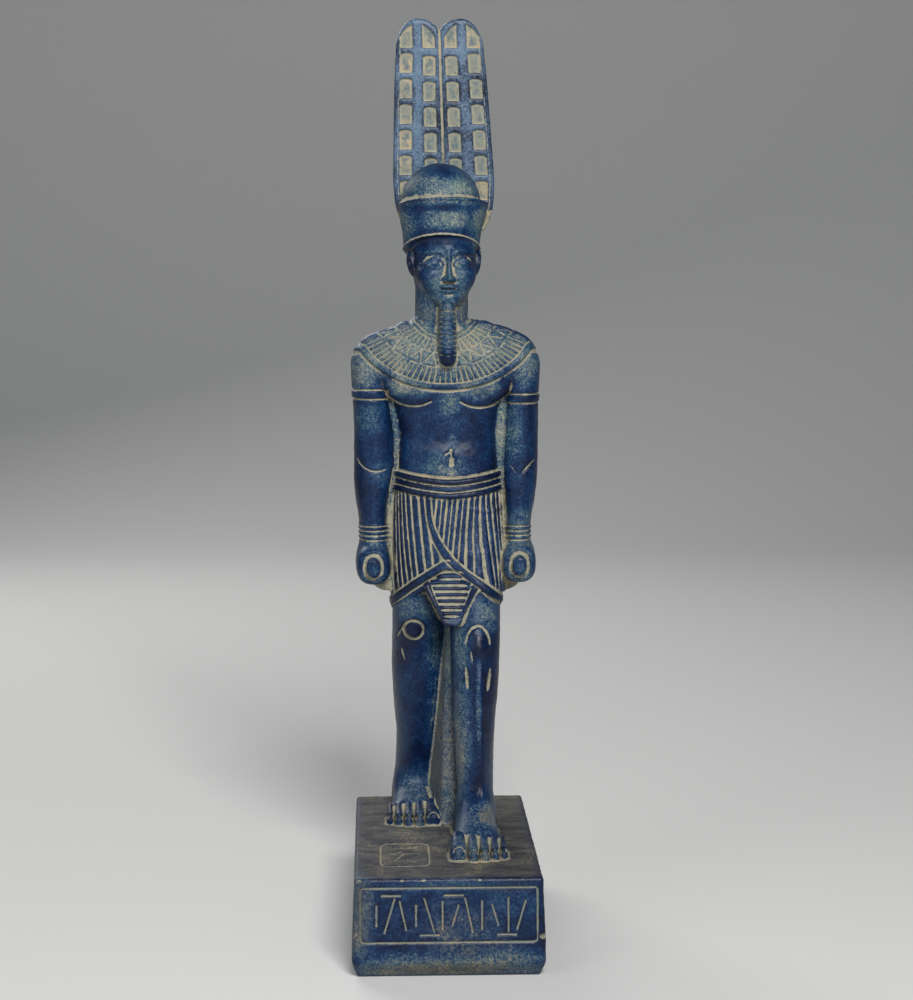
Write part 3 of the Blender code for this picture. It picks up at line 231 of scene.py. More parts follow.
def foot_toes(x, y, z, foot):
    shape = np.full(np.broadcast(x, y, z).shape, FAR)
    for across, tip, width, height in toes(foot):
        half = width * 0.51
        toe = pile(x, z, y, [(tip - 3.4, across - half * 0.90, across + half * 0.90, -4.0, height * 0.74),
                             (tip, across - half, across + half, -4.4, height),
                             (tip + 5.0, across - half, across + half, -4.4, height * 1.06),
                             (tip + 12.0, across - half, across + half, -4.4, height * 1.40)],
                   2.5, 2.6)
        shape = soft_min(shape, toe, 0.4)
    return shape


def front_toes(x, y, z):
    return foot_toes(x, y, z, FRONT_FOOT)


def rear_toes(x, y, z):
    return foot_toes(x, y, z, REAR_FOOT)


# The kilt, its belt and the tab that hangs in front

KILT = [
    (86, -22.6, 26.2, 17.2, 50), (100, -22.9, 27, 14.3, 50), (127, -23.3, 28.4, 12.4, 51),
    (146, -22.6, 28, 12.2, 50), (154, -21.5, 27, 13, 49), (168, -20.2, 25, 14.2, 48),
]
KILT_OVER_THIGH = [
    (86, 3, 26.7, 3.6, 36), (100, 3, 27, 5, 38), (125, 4, 26, 11, 40), (140, 6, 24, 16, 40),
]
BELT_TOP = 156.6
BELT_DIP = 3.1
TAB_MIDDLE = 3.7
TAB_LOW = 92.8
TAB_TAPER_END = 96.2
TAB_HIGH = 117.0
TAB_OVER_THIGH = 1.3
HEM_BACK = 95.6


def belt_height(x, y, z):
    """Height with the belt's dip at the front taken out."""
    aside = np.clip(np.abs(x - 3.2) / 23.0, 0.0, 1.0)
    return z - BELT_DIP * np.where(y > MIDDLE_Y, 1.0, aside**1.5)


def hem(x, y):
    """How low the kilt reaches: highest beside the tab, falling to each side and level behind."""
    left = 106.4 - 0.61 * np.clip(-8.6 - x, 0.0, 14.0)
    right = 108.4 - 0.64 * np.clip(x - 16.0, 0.0, 11.0)
    front = np.where(x < 4.0, left, right)
    return front + (HEM_BACK - front) * smooth(24.0, 40.0, y)


def kilt(x, y, z):
    wrap = pile(x, y, z, KILT, 2.5, 0.5)
    thigh = pile(x, y, z, KILT_OVER_THIGH, 2.4, 0.5)
    cloth = soft_max(soft_min(wrap, thigh, 6.0), (hem(x, y) - z) * 0.85, 0.8)
    return soft_max(cloth, belt_height(x, y, z) - BELT_TOP, 0.8)


def tab_half(z):
    return 4.9 + np.maximum(z - TAB_TAPER_END, 0.0) * 0.53


def tab(x, y, z):
    front = 2.4 + (z - TAB_LOW) * 0.31
    side = (np.abs(x - TAB_MIDDLE) - tab_half(z)) * 0.9
    ends = np.maximum(TAB_LOW - z, z - TAB_HIGH)
    bands_over = np.maximum(lower_band_offset(x, z), sash_offset(x, z)) + BAND_HALF + 0.5
    flat = np.maximum(soft_max(side, ends, 3.6), bands_over)
    over_thigh = np.maximum(front_leg(x, y, z) - TAB_OVER_THIGH, y - 14.0)
    return soft_max(flat, soft_min(np.maximum(front - y, y - 24.0), over_thigh, 0.5), 1.0)


# The body, the arms and the stone beside them

TORSO = [
    (146, -20, 25.4, 15.5, 47.5), (158, -20.6, 26, 14.9, 46.5), (166, -19.8, 25.2, 15, 46),
    (175, -19.6, 25, 16.4, 46), (187, -21.6, 26.6, 16.4, 47), (197, -24, 29.5, 15.4, 48.5),
    (207, -27, 31, 15, 49.5), (216, -25, 29, 16.6, 49), (224, -17, 19, 20, 46),
]
YOKE = [
    (-39.2, 202, 210, 26, 36), (-36.6, 198, 215.4, 21.5, 41), (-31, 197, 219.6, 18, 45),
    (-22, 196, 222.8, 15.6, 48), (-12, 192, 225.4, 14.8, 49.5), (1.5, 190, 226.8, 15.2, 50),
    (14, 192, 225.8, 14.8, 49.5), (24, 196, 224, 15.6, 48), (33, 197, 221, 18, 45),
    (40, 198, 216.6, 21.5, 41), (42.7, 202, 210.6, 26, 36),
]
CHEST = [(-13.0, 24.0, 206.0), (17.0, 24.0, 205.3)]
CHEST_RADII = (15.8, 11.2, 16.2)
CHEST_EDGE = 16.6
BREASTBONE = (-2.6, 6.0)
NAVEL_TOP = [((4.0, 165.6), (3.8, 169.4), 1.3), ((3.4, 168.6), (1.4, 167.6), 0.8)]


def torso(x, y, z):
    body = pile(x, y, z, TORSO, 2.5)
    yoke = pile(z, y, x, YOKE, 2.2)
    shape = soft_min(body, yoke, 4.0)
    for centre in CHEST:
        shape = soft_min(shape, ball(x, y, z, centre, CHEST_RADII), 1.2)
    return shape


LEFT_SIDE_ARM = [
    (124, -37, -23.4, 19, 39.5), (131, -36.9, -23.8, 18.5, 39), (139, -37.4, -24.2, 18.4, 39),
    (147, -38.5, -23.4, 18.2, 40), (156, -39.3, -21.6, 18.6, 41.5), (164, -39.2, -20.4, 19, 42),
    (174, -39.1, -20.4, 19, 42.5), (184, -39.3, -21.6, 19, 43), (196, -40, -23.4, 18.6, 43.5),
    (207, -40.4, -23, 18.8, 43), (214.5, -38.6, -24, 21.5, 41),
]
RIGHT_SIDE_ARM = [
    (124, 28, 40, 19, 39.5), (131, 28.4, 39.8, 18.5, 39), (139, 28.2, 40.4, 18.4, 39),
    (147, 27.3, 41.8, 18.2, 40), (156, 26.8, 42.9, 18.6, 41.5), (164, 26.8, 43.2, 19, 42),
    (174, 27.2, 43.4, 19, 42.5), (184, 27.7, 43.4, 19, 43), (196, 28, 43.8, 18.6, 43.5),
    (207, 27, 44.1, 18.8, 43), (214.5, 28, 42.2, 21.5, 41),
]
LEFT_SIDE_FIST = (-30.6, 117.6)
RIGHT_SIDE_FIST = (34.2, 118.4)
FIST = [
    (13.4, -5.8, 6.4, -6.4, 7), (17, -7.4, 7.4, -8.2, 8.8), (28, -8, 7.8, -8.8, 9.6),
    (38, -7.4, 7.4, -8, 9.2), (43, -5.2, 5.2, -5.6, 7),
]
ROD_FRONT = 9.6


def arm_shape(x, y, z, stations, fist, turned):
    middle_x, middle_z = fist
    arm = pile(x, y, z, stations, 2.3, 3.0)
    hand = pile((x - middle_x) * turned, z - middle_z, y, FIST, 2.5, 2.0)
    rod = soft_max(np.hypot((x - middle_x) / 3.2, (z - middle_z) / 4.3) * 3.6 - 3.6,
                   np.maximum(ROD_FRONT - y, y - 20.0), 1.8)
    return soft_min(soft_min(arm, hand, 3.0), rod, 0.5)


def left_side_arm(x, y, z):
    return arm_shape(x, y, z, LEFT_SIDE_ARM, LEFT_SIDE_FIST, 1.0)


def right_side_arm(x, y, z):
    return arm_shape(x, y, z, RIGHT_SIDE_ARM, RIGHT_SIDE_FIST, -1.0)


WEB_FRONT = 25.2


def arm_web(x, y, z):
    """The stone left between the arms and the body, rounded off below the fists."""
    low = 105.4 + 0.055 * np.maximum(np.abs(x - 1.8) - 26.5, 0.0) ** 2.2
    slab = block(x, y, z, (-35.0, WEB_FRONT, 60.0), (38.6, 42.8, 198.0), 2.0)
    return soft_max(slab, (low - z) * 0.8, 2.0)


# The neck, the head and the ears

NECK = [
    (219, -15.5, 17.5, 17, 46), (224, -12.9, 13.2, 18.6, 45), (230, -11.7, 11.7, 19.4, 44.4),
    (245, -11.4, 11.8, 18.4, 44.8),
]
SKULL = [
    (231.8, -4.4, 4.4, -13, 2), (233.6, -6.4, 6.4, -15.4, 6), (237, -9.2, 9.2, -16.5, 10),
    (240.5, -11.4, 11.4, -16.8, 13), (245, -13.2, 13.2, -16.6, 15.5), (250, -14.1, 14.1, -16.2, 17),
    (258, -14.4, 14.4, -16.7, 17.5), (268, -14.2, 14.2, -16.2, 17.5),
]
NOSE = [
    (243.4, -1.9, 1.9, -19, -12), (244.8, -2.1, 2.1, -21, -12), (247.5, -1.6, 1.6, -20, -12),
    (251.5, -1.2, 1.2, -18.6, -12), (255.5, -1.6, 1.6, -17.6, -12), (258.5, -2.8, 2.8, -16.9, -12),
]
EYE_LINE = 251.4
EYE_APART = 6.2
EYE_HALF = 3.8


def neck(x, y, z):
    return pile(x, y, z, NECK, 2.1, 3.0)


def head_space(x, y):
    """Across and back from the middle of the head, turned with it."""
    across = (x - HEAD_X) * np.cos(HEAD_TURN) + (y - MIDDLE_Y) * np.sin(HEAD_TURN)
    back = (y - MIDDLE_Y) * np.cos(HEAD_TURN) - (x - HEAD_X) * np.sin(HEAD_TURN)
    return across, back


def head(x, y, z):
    across, back = head_space(x, y)
    side = np.abs(across)
    shape = pile(across, back, z, SKULL, 2.3, 2.0)
    shape = soft_min(shape, ball(side, back, z, (7.4, -9.8, 246.2), (5.4, 6.4, 5.6)), 3.0)
    shape = soft_min(shape, ball(across, back, z, (0.0, -14.4, 235.4), (4.0, 3.0, 2.8)), 2.0)
    shape = soft_max(shape, -ball(side, back, z, (EYE_APART, -19.3, 252.0), (5.0, 3.6, 3.6)), 1.8)
    shape = soft_min(shape, ball(side, back, z, (EYE_APART, -13.2, EYE_LINE), (4.1, 3.3, 2.9)), 0.4)
    shape = soft_min(shape, pile(across, back, z, NOSE, 2.0, 0.8), 1.2)
    shape = soft_min(shape, ball(side, back, z, (1.9, -17.4, 244.8), (1.25, 1.8, 1.3)), 0.7)
    shape = soft_min(shape, ball(side, back, z, (1.5, -16.6, 241.6), (2.7, 1.9, 1.05)), 0.5)
    shape = soft_min(shape, ball(across, back, z, (0.0, -16.1, 239.4), (3.1, 2.2, 1.25)), 0.5)
    return shape


def ears(x, y, z):
    across, back = head_space(x, y)
    side = np.abs(across) - 0.17 * (z - 251.5)
    ear = ball(side, back, z, (14.6, -1.2, 251.4), (2.0, 3.6, 5.6))
    hollow = ball(side, back, z, (16.2, -3.2, 252.0), (1.2, 2.0, 3.4))
    return soft_max(ear, -hollow, 0.5)


BEARD = [
    (206.8, 0.2, 4.4, 9.6, 24), (208.6, -1.2, 5.7, 8, 24), (214, -1.8, 6.3, 7.2, 24),
    (224, -1.7, 6.2, 8.4, 24), (231, -1.4, 5.8, 10.2, 24), (236, -1, 5.3, 12.6, 24),
]


def beard(x, y, z):
    return pile(x, y, z, BEARD, 2.6, 1.6)


# The crown: a flaring cap, a low dome and two tall plumes

CAP = [
    (248, -16.2, 16.4, 14.2, 47.6), (257, -16.6, 16.9, 13.8, 47.8), (264, -17.2, 17.6, 13.2, 48.2),
    (270.6, -18.3, 19.1, 12.4, 48.8), (277, -18.7, 20.4, 11.6, 49.4), (284, -18.8, 20.7, 11.2, 49.8),
]
CAP_LOW = 257.4
CAP_LOW_RISE = 0.38
FILLET_HIGH = 0.6
CAP_HIGH = 277.4
CAP_HIGH_RISE = 0.147
DOME = (-0.1, 31.0, 278.4)
DOME_RADII = (17.5, 18.4, 17.4)


def cap_heights(y):
    """The lower and upper edges of the cap, which both rise towards the front."""
    forward = MIDDLE_Y - y
    return CAP_LOW + CAP_LOW_RISE * forward, CAP_HIGH + CAP_HIGH_RISE * forward


def cap(x, y, z):
    low, high = cap_heights(y)
    return soft_max(soft_max(pile(x, y, z, CAP, 2.0), z - high, 0.9), low - z, 0.9)


def dome(x, y, z):
    return ball(x, y, z, DOME, DOME_RADII)


PLUME_FRONT = 36.6
PLUME_BACK = 47.4
PLUME_OUTLINE = [
    (262, 15), (270.4, 19.6), (274.4, 21.1), (280, 22.1), (288.6, 22.5), (302, 22), (315, 21.4),
    (332.5, 20.5), (344, 19.6),
]
PLUME_SHOULDER = 344.0
PLUME_CROWN = 15.4
PLUME_MEETING = 0.74
PLUME_LOW = 266.0


def plume_lines(z):
    """The line between the plumes, and the outer edge on each side of it."""
    middle = -0.6 + (355.0 - z) * 0.030
    return middle, flow(z, np.asarray(PLUME_OUTLINE, float), 1)


def plumes(x, y, z):
    middle, outer = plume_lines(z)
    half = outer / 2.0
    above = np.maximum(z - PLUME_SHOULDER, 0.0) / PLUME_CROWN * half
    within = np.abs(x - middle) - half
    within = np.maximum(within, -PLUME_MEETING * within)
    sheet = np.where(z > PLUME_SHOULDER, np.hypot(within, above), within) - half
    thick = np.maximum(PLUME_FRONT - y, y - PLUME_BACK)
    return soft_max(soft_max(sheet, thick, 1.6), PLUME_LOW - z, 1.0)


# The carved lines. Each returns a height above the plain surface, below zero where it is cut

def line(offset, width):
    """A groove where the offset is near zero, one deep in its middle."""
    return -np.clip(1.5 * (1.0 - np.abs(offset) / width), 0.0, 1.0)


def stroke(u, w, start, end, width, taper=0.0):
    """A groove along the straight line from start to end, thinner towards its ends by the taper."""
    run_u = end[0] - start[0]
    run_w = end[1] - start[1]
    share = ((u - start[0]) * run_u + (w - start[1]) * run_w) / (run_u**2 + run_w**2)
    share = np.clip(share, 0.0, 1.0)
    full = 1.0 - taper * (2.0 * share - 1.0) ** 2
    return full * line(np.hypot(u - start[0] - share * run_u, w - start[1] - share * run_w), width * full)


def stripes(phase, cut):
    """Grooves at whole numbers of the phase, cut being the share of the pitch that they take."""
    away = np.abs(phase - np.round(phase))
    return -smooth(cut / 2.0 + 0.13, cut / 2.0 - 0.13, away)


COLLAR_MIDDLE = (1.5, 230.0)
COLLAR_RADII = (43.2, 33.5)
COLLAR_EDGES = [0.365, 0.52, 0.71, 0.92, 1.0]
NECK_RING = 0.315
OUTER_RAYS = 96
INNER_RAYS = 56
TRIANGLES = 26
SHOULDER_ROUND = 9.0
SHOULDER_UNROLL = 0.65


def collar(x, y, z):
    """A broad collar in bands: ticks by the neck, triangles, long ticks and a plain border.

    On top of the shoulders the bands are measured on over the crest as if it were unrolled.
    """
    over_crest = SHOULDER_UNROLL * np.clip(SHOULDER_ROUND - np.abs(y - MIDDLE_Y), 0.0, SHOULDER_ROUND)
    u = (x - COLLAR_MIDDLE[0]) / COLLAR_RADII[0]
    w = (z + over_crest - COLLAR_MIDDLE[1]) / COLLAR_RADII[1]
    reach = np.hypot(u, w)
    turn = np.arctan2(w, u) / (2.0 * np.pi)
    inner, triangles, outer, border, end = COLLAR_EDGES
    on_body = smooth(NECK_RING - 0.05, NECK_RING - 0.02, reach) * smooth(228.6, 227.0, z)
    raised = smooth(end + 0.012, end - 0.012, reach) + 0.5 * line(reach - end - 0.026, 0.026)
    cut = stripes(turn * OUTER_RAYS, 0.46) * (reach > outer) * (reach < border)
    cut = cut + stripes(turn * INNER_RAYS, 0.46) * (reach > inner) * (reach < triangles)
    wave = np.abs(2.0 * (turn * TRIANGLES - np.floor(turn * TRIANGLES)) - 1.0)
    share = (reach - triangles) / (outer - triangles)
    zigzag = line(share - wave, 0.34) * (reach > triangles) * (reach < outer)
    cut = np.minimum(cut, zigzag)
    for edge in (NECK_RING, inner, triangles, outer, border):
        cut = np.minimum(cut, line(reach - edge, 0.021))
    crest = 0.3 + 0.7 * smooth(1.0, 6.0, np.abs(y - MIDDLE_Y))
    return (raised + cut * crest * (reach < end)) * on_body


def bands(height, lines, width):
    cut = np.zeros_like(height)
    for edge in lines:
        cut = np.minimum(cut, line(height - edge, width))
    return cut


BELT_LINES = [154.0, 150.9]
BELT_LOW = 148.2
BELT_MIDDLE = 152.4
SASH = [(103.6, 25.2), (109.2, 18.8), (113.0, 13.3), (116.6, 8.1), (121.2, 3.0), (126.8, -0.9),
        (130.2, -2.8), (135.7, -4.9), (141.0, -6.0), (148.0, -6.5)]
LOWER_BAND = [(-23.0, 100.4), (-19.9, 103.8), (-13.6, 109.1), (-5.7, 114.6), (0.5, 118.4)]
BAND_HALF = 1.5
SASH_HALF_HIGH = 0.9
PLEATS_OVER = 58
PLEATS_UNDER = 42
PLEAT_LEAN = 0.10
PLEATS_CROWD = 0.032


def sash_offset(x, z):
    """Signed distance from the middle of the band that crosses the kilt from the belt to the right hem."""
    path = np.array(SASH)
    slope = np.interp(z, path[:, 0], np.gradient(path[:, 1], path[:, 0]))
    return (x - np.interp(z, path[:, 0], path[:, 1])) / np.hypot(1.0, slope)


def lower_band_offset(x, z):
    """Signed height above the middle of the band that falls from the sash to the left hem."""
    path = np.array(LOWER_BAND)
    return (z - np.interp(x, path[:, 0], path[:, 1])) * 0.80


def pleat_lines(x, y, z, over):
    """The pleats, drawn together below the belt.

    They are broad and narrow by turns on the side that laps over, and closer towards the flank on the other.
    """
    drop = np.clip(150.0 - z, 0.0, 50.0) * PLEAT_LEAN * (y < MIDDLE_Y)
    shift = np.where(over, drop * smooth(24.0, 14.0, x), -drop * smooth(-24.0, -13.0, x))
    turn = np.arctan2(x + shift - 2.6, 34.0 - y) / (2.0 * np.pi)
    crowd = PLEATS_CROWD * np.clip(-13.3 - x - shift, 0.0, 8.0) ** 2
    phase = np.where(over, turn * PLEATS_OVER + 0.13, turn * PLEATS_UNDER - crowd)
    broad = np.abs(phase - 2.0 * np.round(phase / 2.0)) < 0.5
    return stripes(phase, np.where(over, np.where(broad, 0.48, 0.26), 0.36))


def kilt_carving(x, y, z):
    height = belt_height(x, y, z)
    sash = sash_offset(x, z)
    lower = lower_band_offset(x, z)
    half = BAND_HALF + (SASH_HALF_HIGH - BAND_HALF) * smooth(124.0, 140.0, z)
    front = (y < 33.0) & (height < BELT_LOW + 0.6)
    in_sash = smooth(0.2, -0.3, np.abs(sash) - half) * front * smooth(BELT_LOW + 0.6, BELT_LOW - 0.8, height)
    in_lower = smooth(0.2, -0.3, np.abs(lower) - BAND_HALF) * front * (sash < 0.0)
    edges = line(np.abs(sash) - half - 0.5, np.where(sash > 0.0, 0.85, 0.6))
    edges = np.minimum(edges, line(np.abs(lower) - BAND_HALF - 0.5, 0.6) * (sash < 0.0)) * front
    clear = (np.abs(sash) > half + 0.5) & ((np.abs(lower) > BAND_HALF + 0.5) | (sash > 0.0))
    clear = clear & ~(front & (lower < 0.0) & (sash < 0.0))
    pleats = pleat_lines(x, y, z, (sash > 0.0) | (y > 33.0)) * smooth(BELT_LOW + 0.2, BELT_LOW - 0.8, height)
    cut = np.minimum(pleats * np.where(front, clear, 1.0), edges)
    cut = cut + 0.7 * np.maximum(in_sash, in_lower)
    ridges = smooth(1.4, 2.0, np.abs(height - BELT_MIDDLE))
    raised = smooth(BELT_LOW - 0.2, BELT_LOW + 0.5, height) * smooth(BELT_TOP + 0.3, BELT_TOP - 0.5, height)
    belt = bands(height, BELT_LINES, 0.55) + (0.7 + 0.7 * ridges) * raised
    return cut + belt + 0.5 * line(height - BELT_TOP - 0.4, 0.7)


LADDER_LOW = 97.0
LADDER_PITCH = 2.65
BORDER = 1.4
BORDER_WIDENS = 0.15


def tab_carving(x, z):
    """A ladder of rungs between two plain borders that widen upwards."""
    inset = tab_half(z) - np.abs(x - TAB_MIDDLE) - BORDER - BORDER_WIDENS * np.maximum(z - LADDER_LOW, 0.0)
    ladder = stripes((z - LADDER_LOW) / LADDER_PITCH, 0.52) * smooth(-0.3, 0.1, inset)
    ladder = ladder * (z > LADDER_LOW - 1.0)
    side = line(inset, 0.65) * (z < 113.0) * smooth(LADDER_LOW - 1.0, LADDER_LOW - 0.3, z)
    return np.minimum(ladder, side)


PLUME_ROW = 11.2
PLUME_ROW_TOP = 344.4
PLUME_CELL_HIGH = 9.0
PLUME_CELL_HALF = 2.95
PLUME_COLUMN = 0.505
PLUME_TIP_CELL = 346.2


def plume_carving(x, y, z):
    middle, outer = plume_lines(z)
    half = outer / 2.0
    plume = np.abs(x - middle) - half
    from_middle = np.abs(np.abs(plume) - half * PLUME_COLUMN)
    arch = 0.9 * np.minimum(from_middle / PLUME_CELL_HALF, 1.2) ** 3
    row = (PLUME_ROW_TOP - 1.2 * (plume < 0.0) - z) / PLUME_ROW
    in_row = (row - np.floor(row)) * PLUME_ROW
    from_row = np.minimum(in_row - arch, PLUME_CELL_HIGH - in_row)
    top_edge = PLUME_SHOULDER + PLUME_CROWN * np.sqrt(np.clip(1.0 - (plume / half) ** 2, 0.0, 1.0))
    tip = np.minimum(z - PLUME_TIP_CELL, top_edge - 2.2 - z)
    from_row = np.where(z > PLUME_TIP_CELL - 1.0, tip, from_row)
    cell = np.minimum(from_row, PLUME_CELL_HALF - from_middle)
    sunk = -1.3 * smooth(-0.2, 0.45, cell)
    rib = 0.3 * smooth(1.9, 1.3, np.abs(plume))
    edge = 0.8 * line(half - np.abs(plume) - 1.9, 0.6) * (plume > 0.0)
    parting = 1.2 * line(x - middle, 0.9)
    front = smooth(PLUME_FRONT + 3.0, PLUME_FRONT + 2.0, y)
    return (np.minimum(sunk + rib, edge) + parting) * front


def cap_carving(y, z):
    low, high = cap_heights(y)
    return 0.8 * smooth(high - 1.3, high - 0.9, z) + 0.3 * smooth(low + 0.9, low + 0.4, z)


def face_carving(across, back, z):
    """Lids, brows, the line of the mouth and the nostrils."""
    side = np.abs(across)
    share = np.clip((side - EYE_APART) / EYE_HALF, -1.0, 1.0)
    bow = 1.0 - share * share
    upper = z - (EYE_LINE + 0.1 + 2.1 * bow)
    lower = z - (EYE_LINE - 1.6 * bow)
    by_eye = smooth(EYE_HALF + 1.0, EYE_HALF, np.abs(side - EYE_APART))
    lids = 0.75 * smooth(0.8, 0.3, np.abs(upper - 0.4)) + 0.5 * smooth(0.75, 0.25, np.abs(lower + 0.35))
    tail = 0.7 * smooth(0.6, 0.25, np.abs(z - EYE_LINE - 0.1)) * smooth(9.6, 10.1, side)
    tail = tail * smooth(12.2, 11.4, side)
    brow_line = 256.3 + 1.2 * np.cos((side - 5.8) / 4.4) - 1.2
    brow = 0.6 * smooth(0.9, 0.4, np.abs(z - brow_line)) * smooth(1.8, 2.8, side) * smooth(12.4, 11.2, side)
    mouth = 0.8 * line(z - 240.5 - 0.03 * across * across, 0.42) * smooth(4.6, 3.2, side)
    nostril = -0.8 * smooth(0.8, 0.45, np.hypot(side - 1.1, (z - 243.4) * 1.4))
    front = back < -8.0
    return (lids * by_eye + tail + brow + mouth + nostril) * front


def beard_carving(z):
    return 0.7 * stripes((z - 212.0) / 2.1, 0.34) * (z > 211.0) * (z < 233.6)


def arm_carving(x, z, left_side):
    """Armlet, bracelet and the crease at the elbow."""
    if left_side:
        armlet = bands(z, (195.9, 191.9), 0.6) + 0.35 * smooth(191.6, 192.2, z) * smooth(196.2, 195.6, z)
        crease = 0.9 * line(np.hypot(x + 29.2, (z - 170.2) * 0.92) - 9.6, 0.6)
        crease = crease * smooth(167.0, 163.0, z) * smooth(-23.0, -26.5, x)
    else:
        armlet = bands(z, (194.0, 190.0), 0.6) + 0.35 * smooth(189.7, 190.3, z) * smooth(194.3, 193.7, z)
        crease = 1.1 * stroke(x, z, (35.2, 158.8), (41.6, 165.2), 0.8, 0.8)
        crease = np.minimum(crease, 0.6 * stroke(x, z, (33.8, 158.6), (29.0, 164.0), 0.6, 0.8))
    bracelet = 0.5 * smooth(127.9, 128.6, z) * smooth(136.2, 135.5, z)
    bracelet = bracelet + bands(z, (128.9, 131.0, 133.1, 135.2), 0.6)
    return armlet + crease + bracelet


def fist_carving(x, y, z, fist):
    """The hollow round the end of the rod."""
    across = np.abs(x - fist[0])
    up = np.abs(z - fist[1])
    hollow = ((across / 4.8) ** 2.6 + (up / 6.4) ** 2.6) ** (1.0 / 2.6)
    rod = np.hypot(across / 3.2, up / 4.3)
    return -1.1 * smooth(1.08, 0.94, hollow) * smooth(1.0, 1.16, rod) * (y < 18.0)


def chest_carving(x, z):
    """The lower edges of the breast, a shallow furrow down the belly, and the navel."""
    furrow = -0.35 * smooth(3.4, 0.0, np.abs(x - 4.0)) * smooth(166.0, 174.0, z) * smooth(196.0, 182.0, z)
    navel = 1.6 * stroke(x, z, (4.0, 163.4), (4.0, 165.6), 1.9)
    for start, end, width in NAVEL_TOP:
        navel = np.minimum(navel, stroke(x, z, start, end, width))
    relief = furrow + navel
    beside = (smooth(BREASTBONE[0], BREASTBONE[0] - 5.0, x), smooth(BREASTBONE[1], BREASTBONE[1] + 5.0, x))
    for own, (middle_x, _, middle_z) in zip(beside, CHEST):
        inwards = CHEST_EDGE - np.hypot(x - middle_x, z - middle_z)
        own = own * smooth(199.0, 196.0, z)
        full = 1.4 * smooth(-0.2, 0.7, inwards) * smooth(7.0, 0.0, inwards)
        relief = relief + own * (full + 0.6 * line(inwards + 0.5, 0.6))
    return relief


KNEE_TEARS = [(10.3, -0.07, 64.4), (20.0, 0.14, 63.4)]


def knee_carving(x, y, z):
    """A round boss on the rear knee, and the arch and the two hollows of the front one."""
    boss = np.hypot(x + 12.8, z - 88.4)
    rear = 0.9 * smooth(3.9, 3.2, boss) + 1.2 * line(boss - 4.4, 0.9)
    rear = rear + 0.8 * stroke(x, z, (-17.0, 90.6), (-20.2, 83.8), 0.7, 0.6)
    rear = rear + 0.7 * stroke(x, z, (-18.4, 80.0), (-16.6, 72.4), 0.8, 0.9)
    arch = np.hypot((x - 15.2) / 5.3, (z - 84.0) / 8.6)
    front = 1.0 * line((arch - 1.0) * 5.3, 0.8) * smooth(82.0, 88.0, z)
    front = front + 0.7 * stroke(x, z, (11.9, 83.0), (13.0, 75.8), 0.7, 0.9)
    for middle, lean, low in KNEE_TEARS:
        offset = x - middle - (z - low - 5.4) * lean
        full = smooth(low - 1.0, low + 4.0, z) * smooth(low + 13.0, low + 7.0, z)
        front = front + 1.3 * full * line(offset, 0.2 + 0.9 * full)
    return np.where(x < 1.0, rear, front * (y < 12.0)) * (y < 34.0)


NAIL_HALF = 0.33
NAIL_LOW = 0.46
NAIL_RISE = 0.34


def toe_carving(x, y, z, foot):
    """The arched upper edge of each nail on the toe's blunt front, and the gaps between the toes."""
    cut = np.zeros_like(x)
    outwards = foot[2]
    for across, tip, width, height in toes(foot):
        gap = x - across - outwards * width / 2.0
        spread = 0.42 + 0.75 * smooth(tip + 4.5, tip + 7.5, y)
        between = line(gap, spread) * smooth(tip + 11.4, tip + 9.0, y) * (outwards * (across - foot[0]) < 8.0)
        cut = np.minimum(cut, 1.3 * between)
        half = width * NAIL_HALF
        nail = (np.hypot((x - across) / half, (z - height * NAIL_LOW) / (height * NAIL_RISE)) - 1.0) * half
        arch = line(nail, 0.55) * smooth(height * NAIL_LOW - 0.4, height * NAIL_LOW + 0.4, z)
        cut = np.minimum(cut, 1.1 * arch * (y < tip + 2.0))
    return cut


PANEL_HALF = PANEL_WIDTH / UNIT / 2.0
PANEL_MIDDLE = -15.3
PANEL_HALF_HIGH = PANEL_HEIGHT / UNIT / 2.0
PANEL_CORNER = 1.6
STROKES_ACROSS = 12
STROKE_LEANS = (0.0, 0.30, -0.22, 0.0, -0.30)
STROKE_HEIGHTS = (4.6, 7.4, 6.2)
DASHES = [(-24.0, 8.2), (2.0, 8.2), (24.0, -8.2), (-8.0, -8.2)]


def frame_line(u, w, half_u, half_w, corner, width):
    """The outline of a rounded rectangle."""
    gap_u = np.maximum(np.abs(u) - half_u + corner, 0.0)
    gap_w = np.maximum(np.abs(w) - half_w + corner, 0.0)
    over = np.maximum(np.abs(u) - half_u, np.abs(w) - half_w)
    away = np.where((gap_u > 0.0) & (gap_w > 0.0), np.hypot(gap_u, gap_w) - corner, over)
    return line(away, width)


def panel_carving(x, z):
    """A rounded frame on the front of the plinth with a row of plain strokes in it."""
    height = z - PANEL_MIDDLE
    cut = frame_line(x, height, PANEL_HALF, PANEL_HALF_HIGH, PANEL_CORNER, 0.65)
    pitch = (2.0 * PANEL_HALF - 8.0) / STROKES_ACROSS
    for number in range(STROKES_ACROSS):
        middle = -PANEL_HALF + 4.0 + (number + 0.5) * pitch
        lean = STROKE_LEANS[number % len(STROKE_LEANS)]
        tall = STROKE_HEIGHTS[number % len(STROKE_HEIGHTS)]
        offset = x - middle - lean * height
        bar = line(offset / np.hypot(1.0, lean), 0.65) * (np.abs(height) < tall)
        cut = np.minimum(cut, bar)
    for middle, level in DASHES:
        cut = np.minimum(cut, line(height - level, 0.65) * (np.abs(x - middle) < 4.2))
    return cut


MARK = (-17.8, -32.5)
MARK_HALF = (10.4, 17.6)
MARK_STRETCH = 2.6
MARK_STROKES = [((-4.6, 4.1), (5.4, 4.3)), ((-6.0, 0.2), (-1.4, 1.8)), ((0.6, 0.4), (6.4, 0.9)),
                ((-4.6, -3.6), (-0.6, 0.4)), ((0.8, -3.2), (4.6, -4.4))]


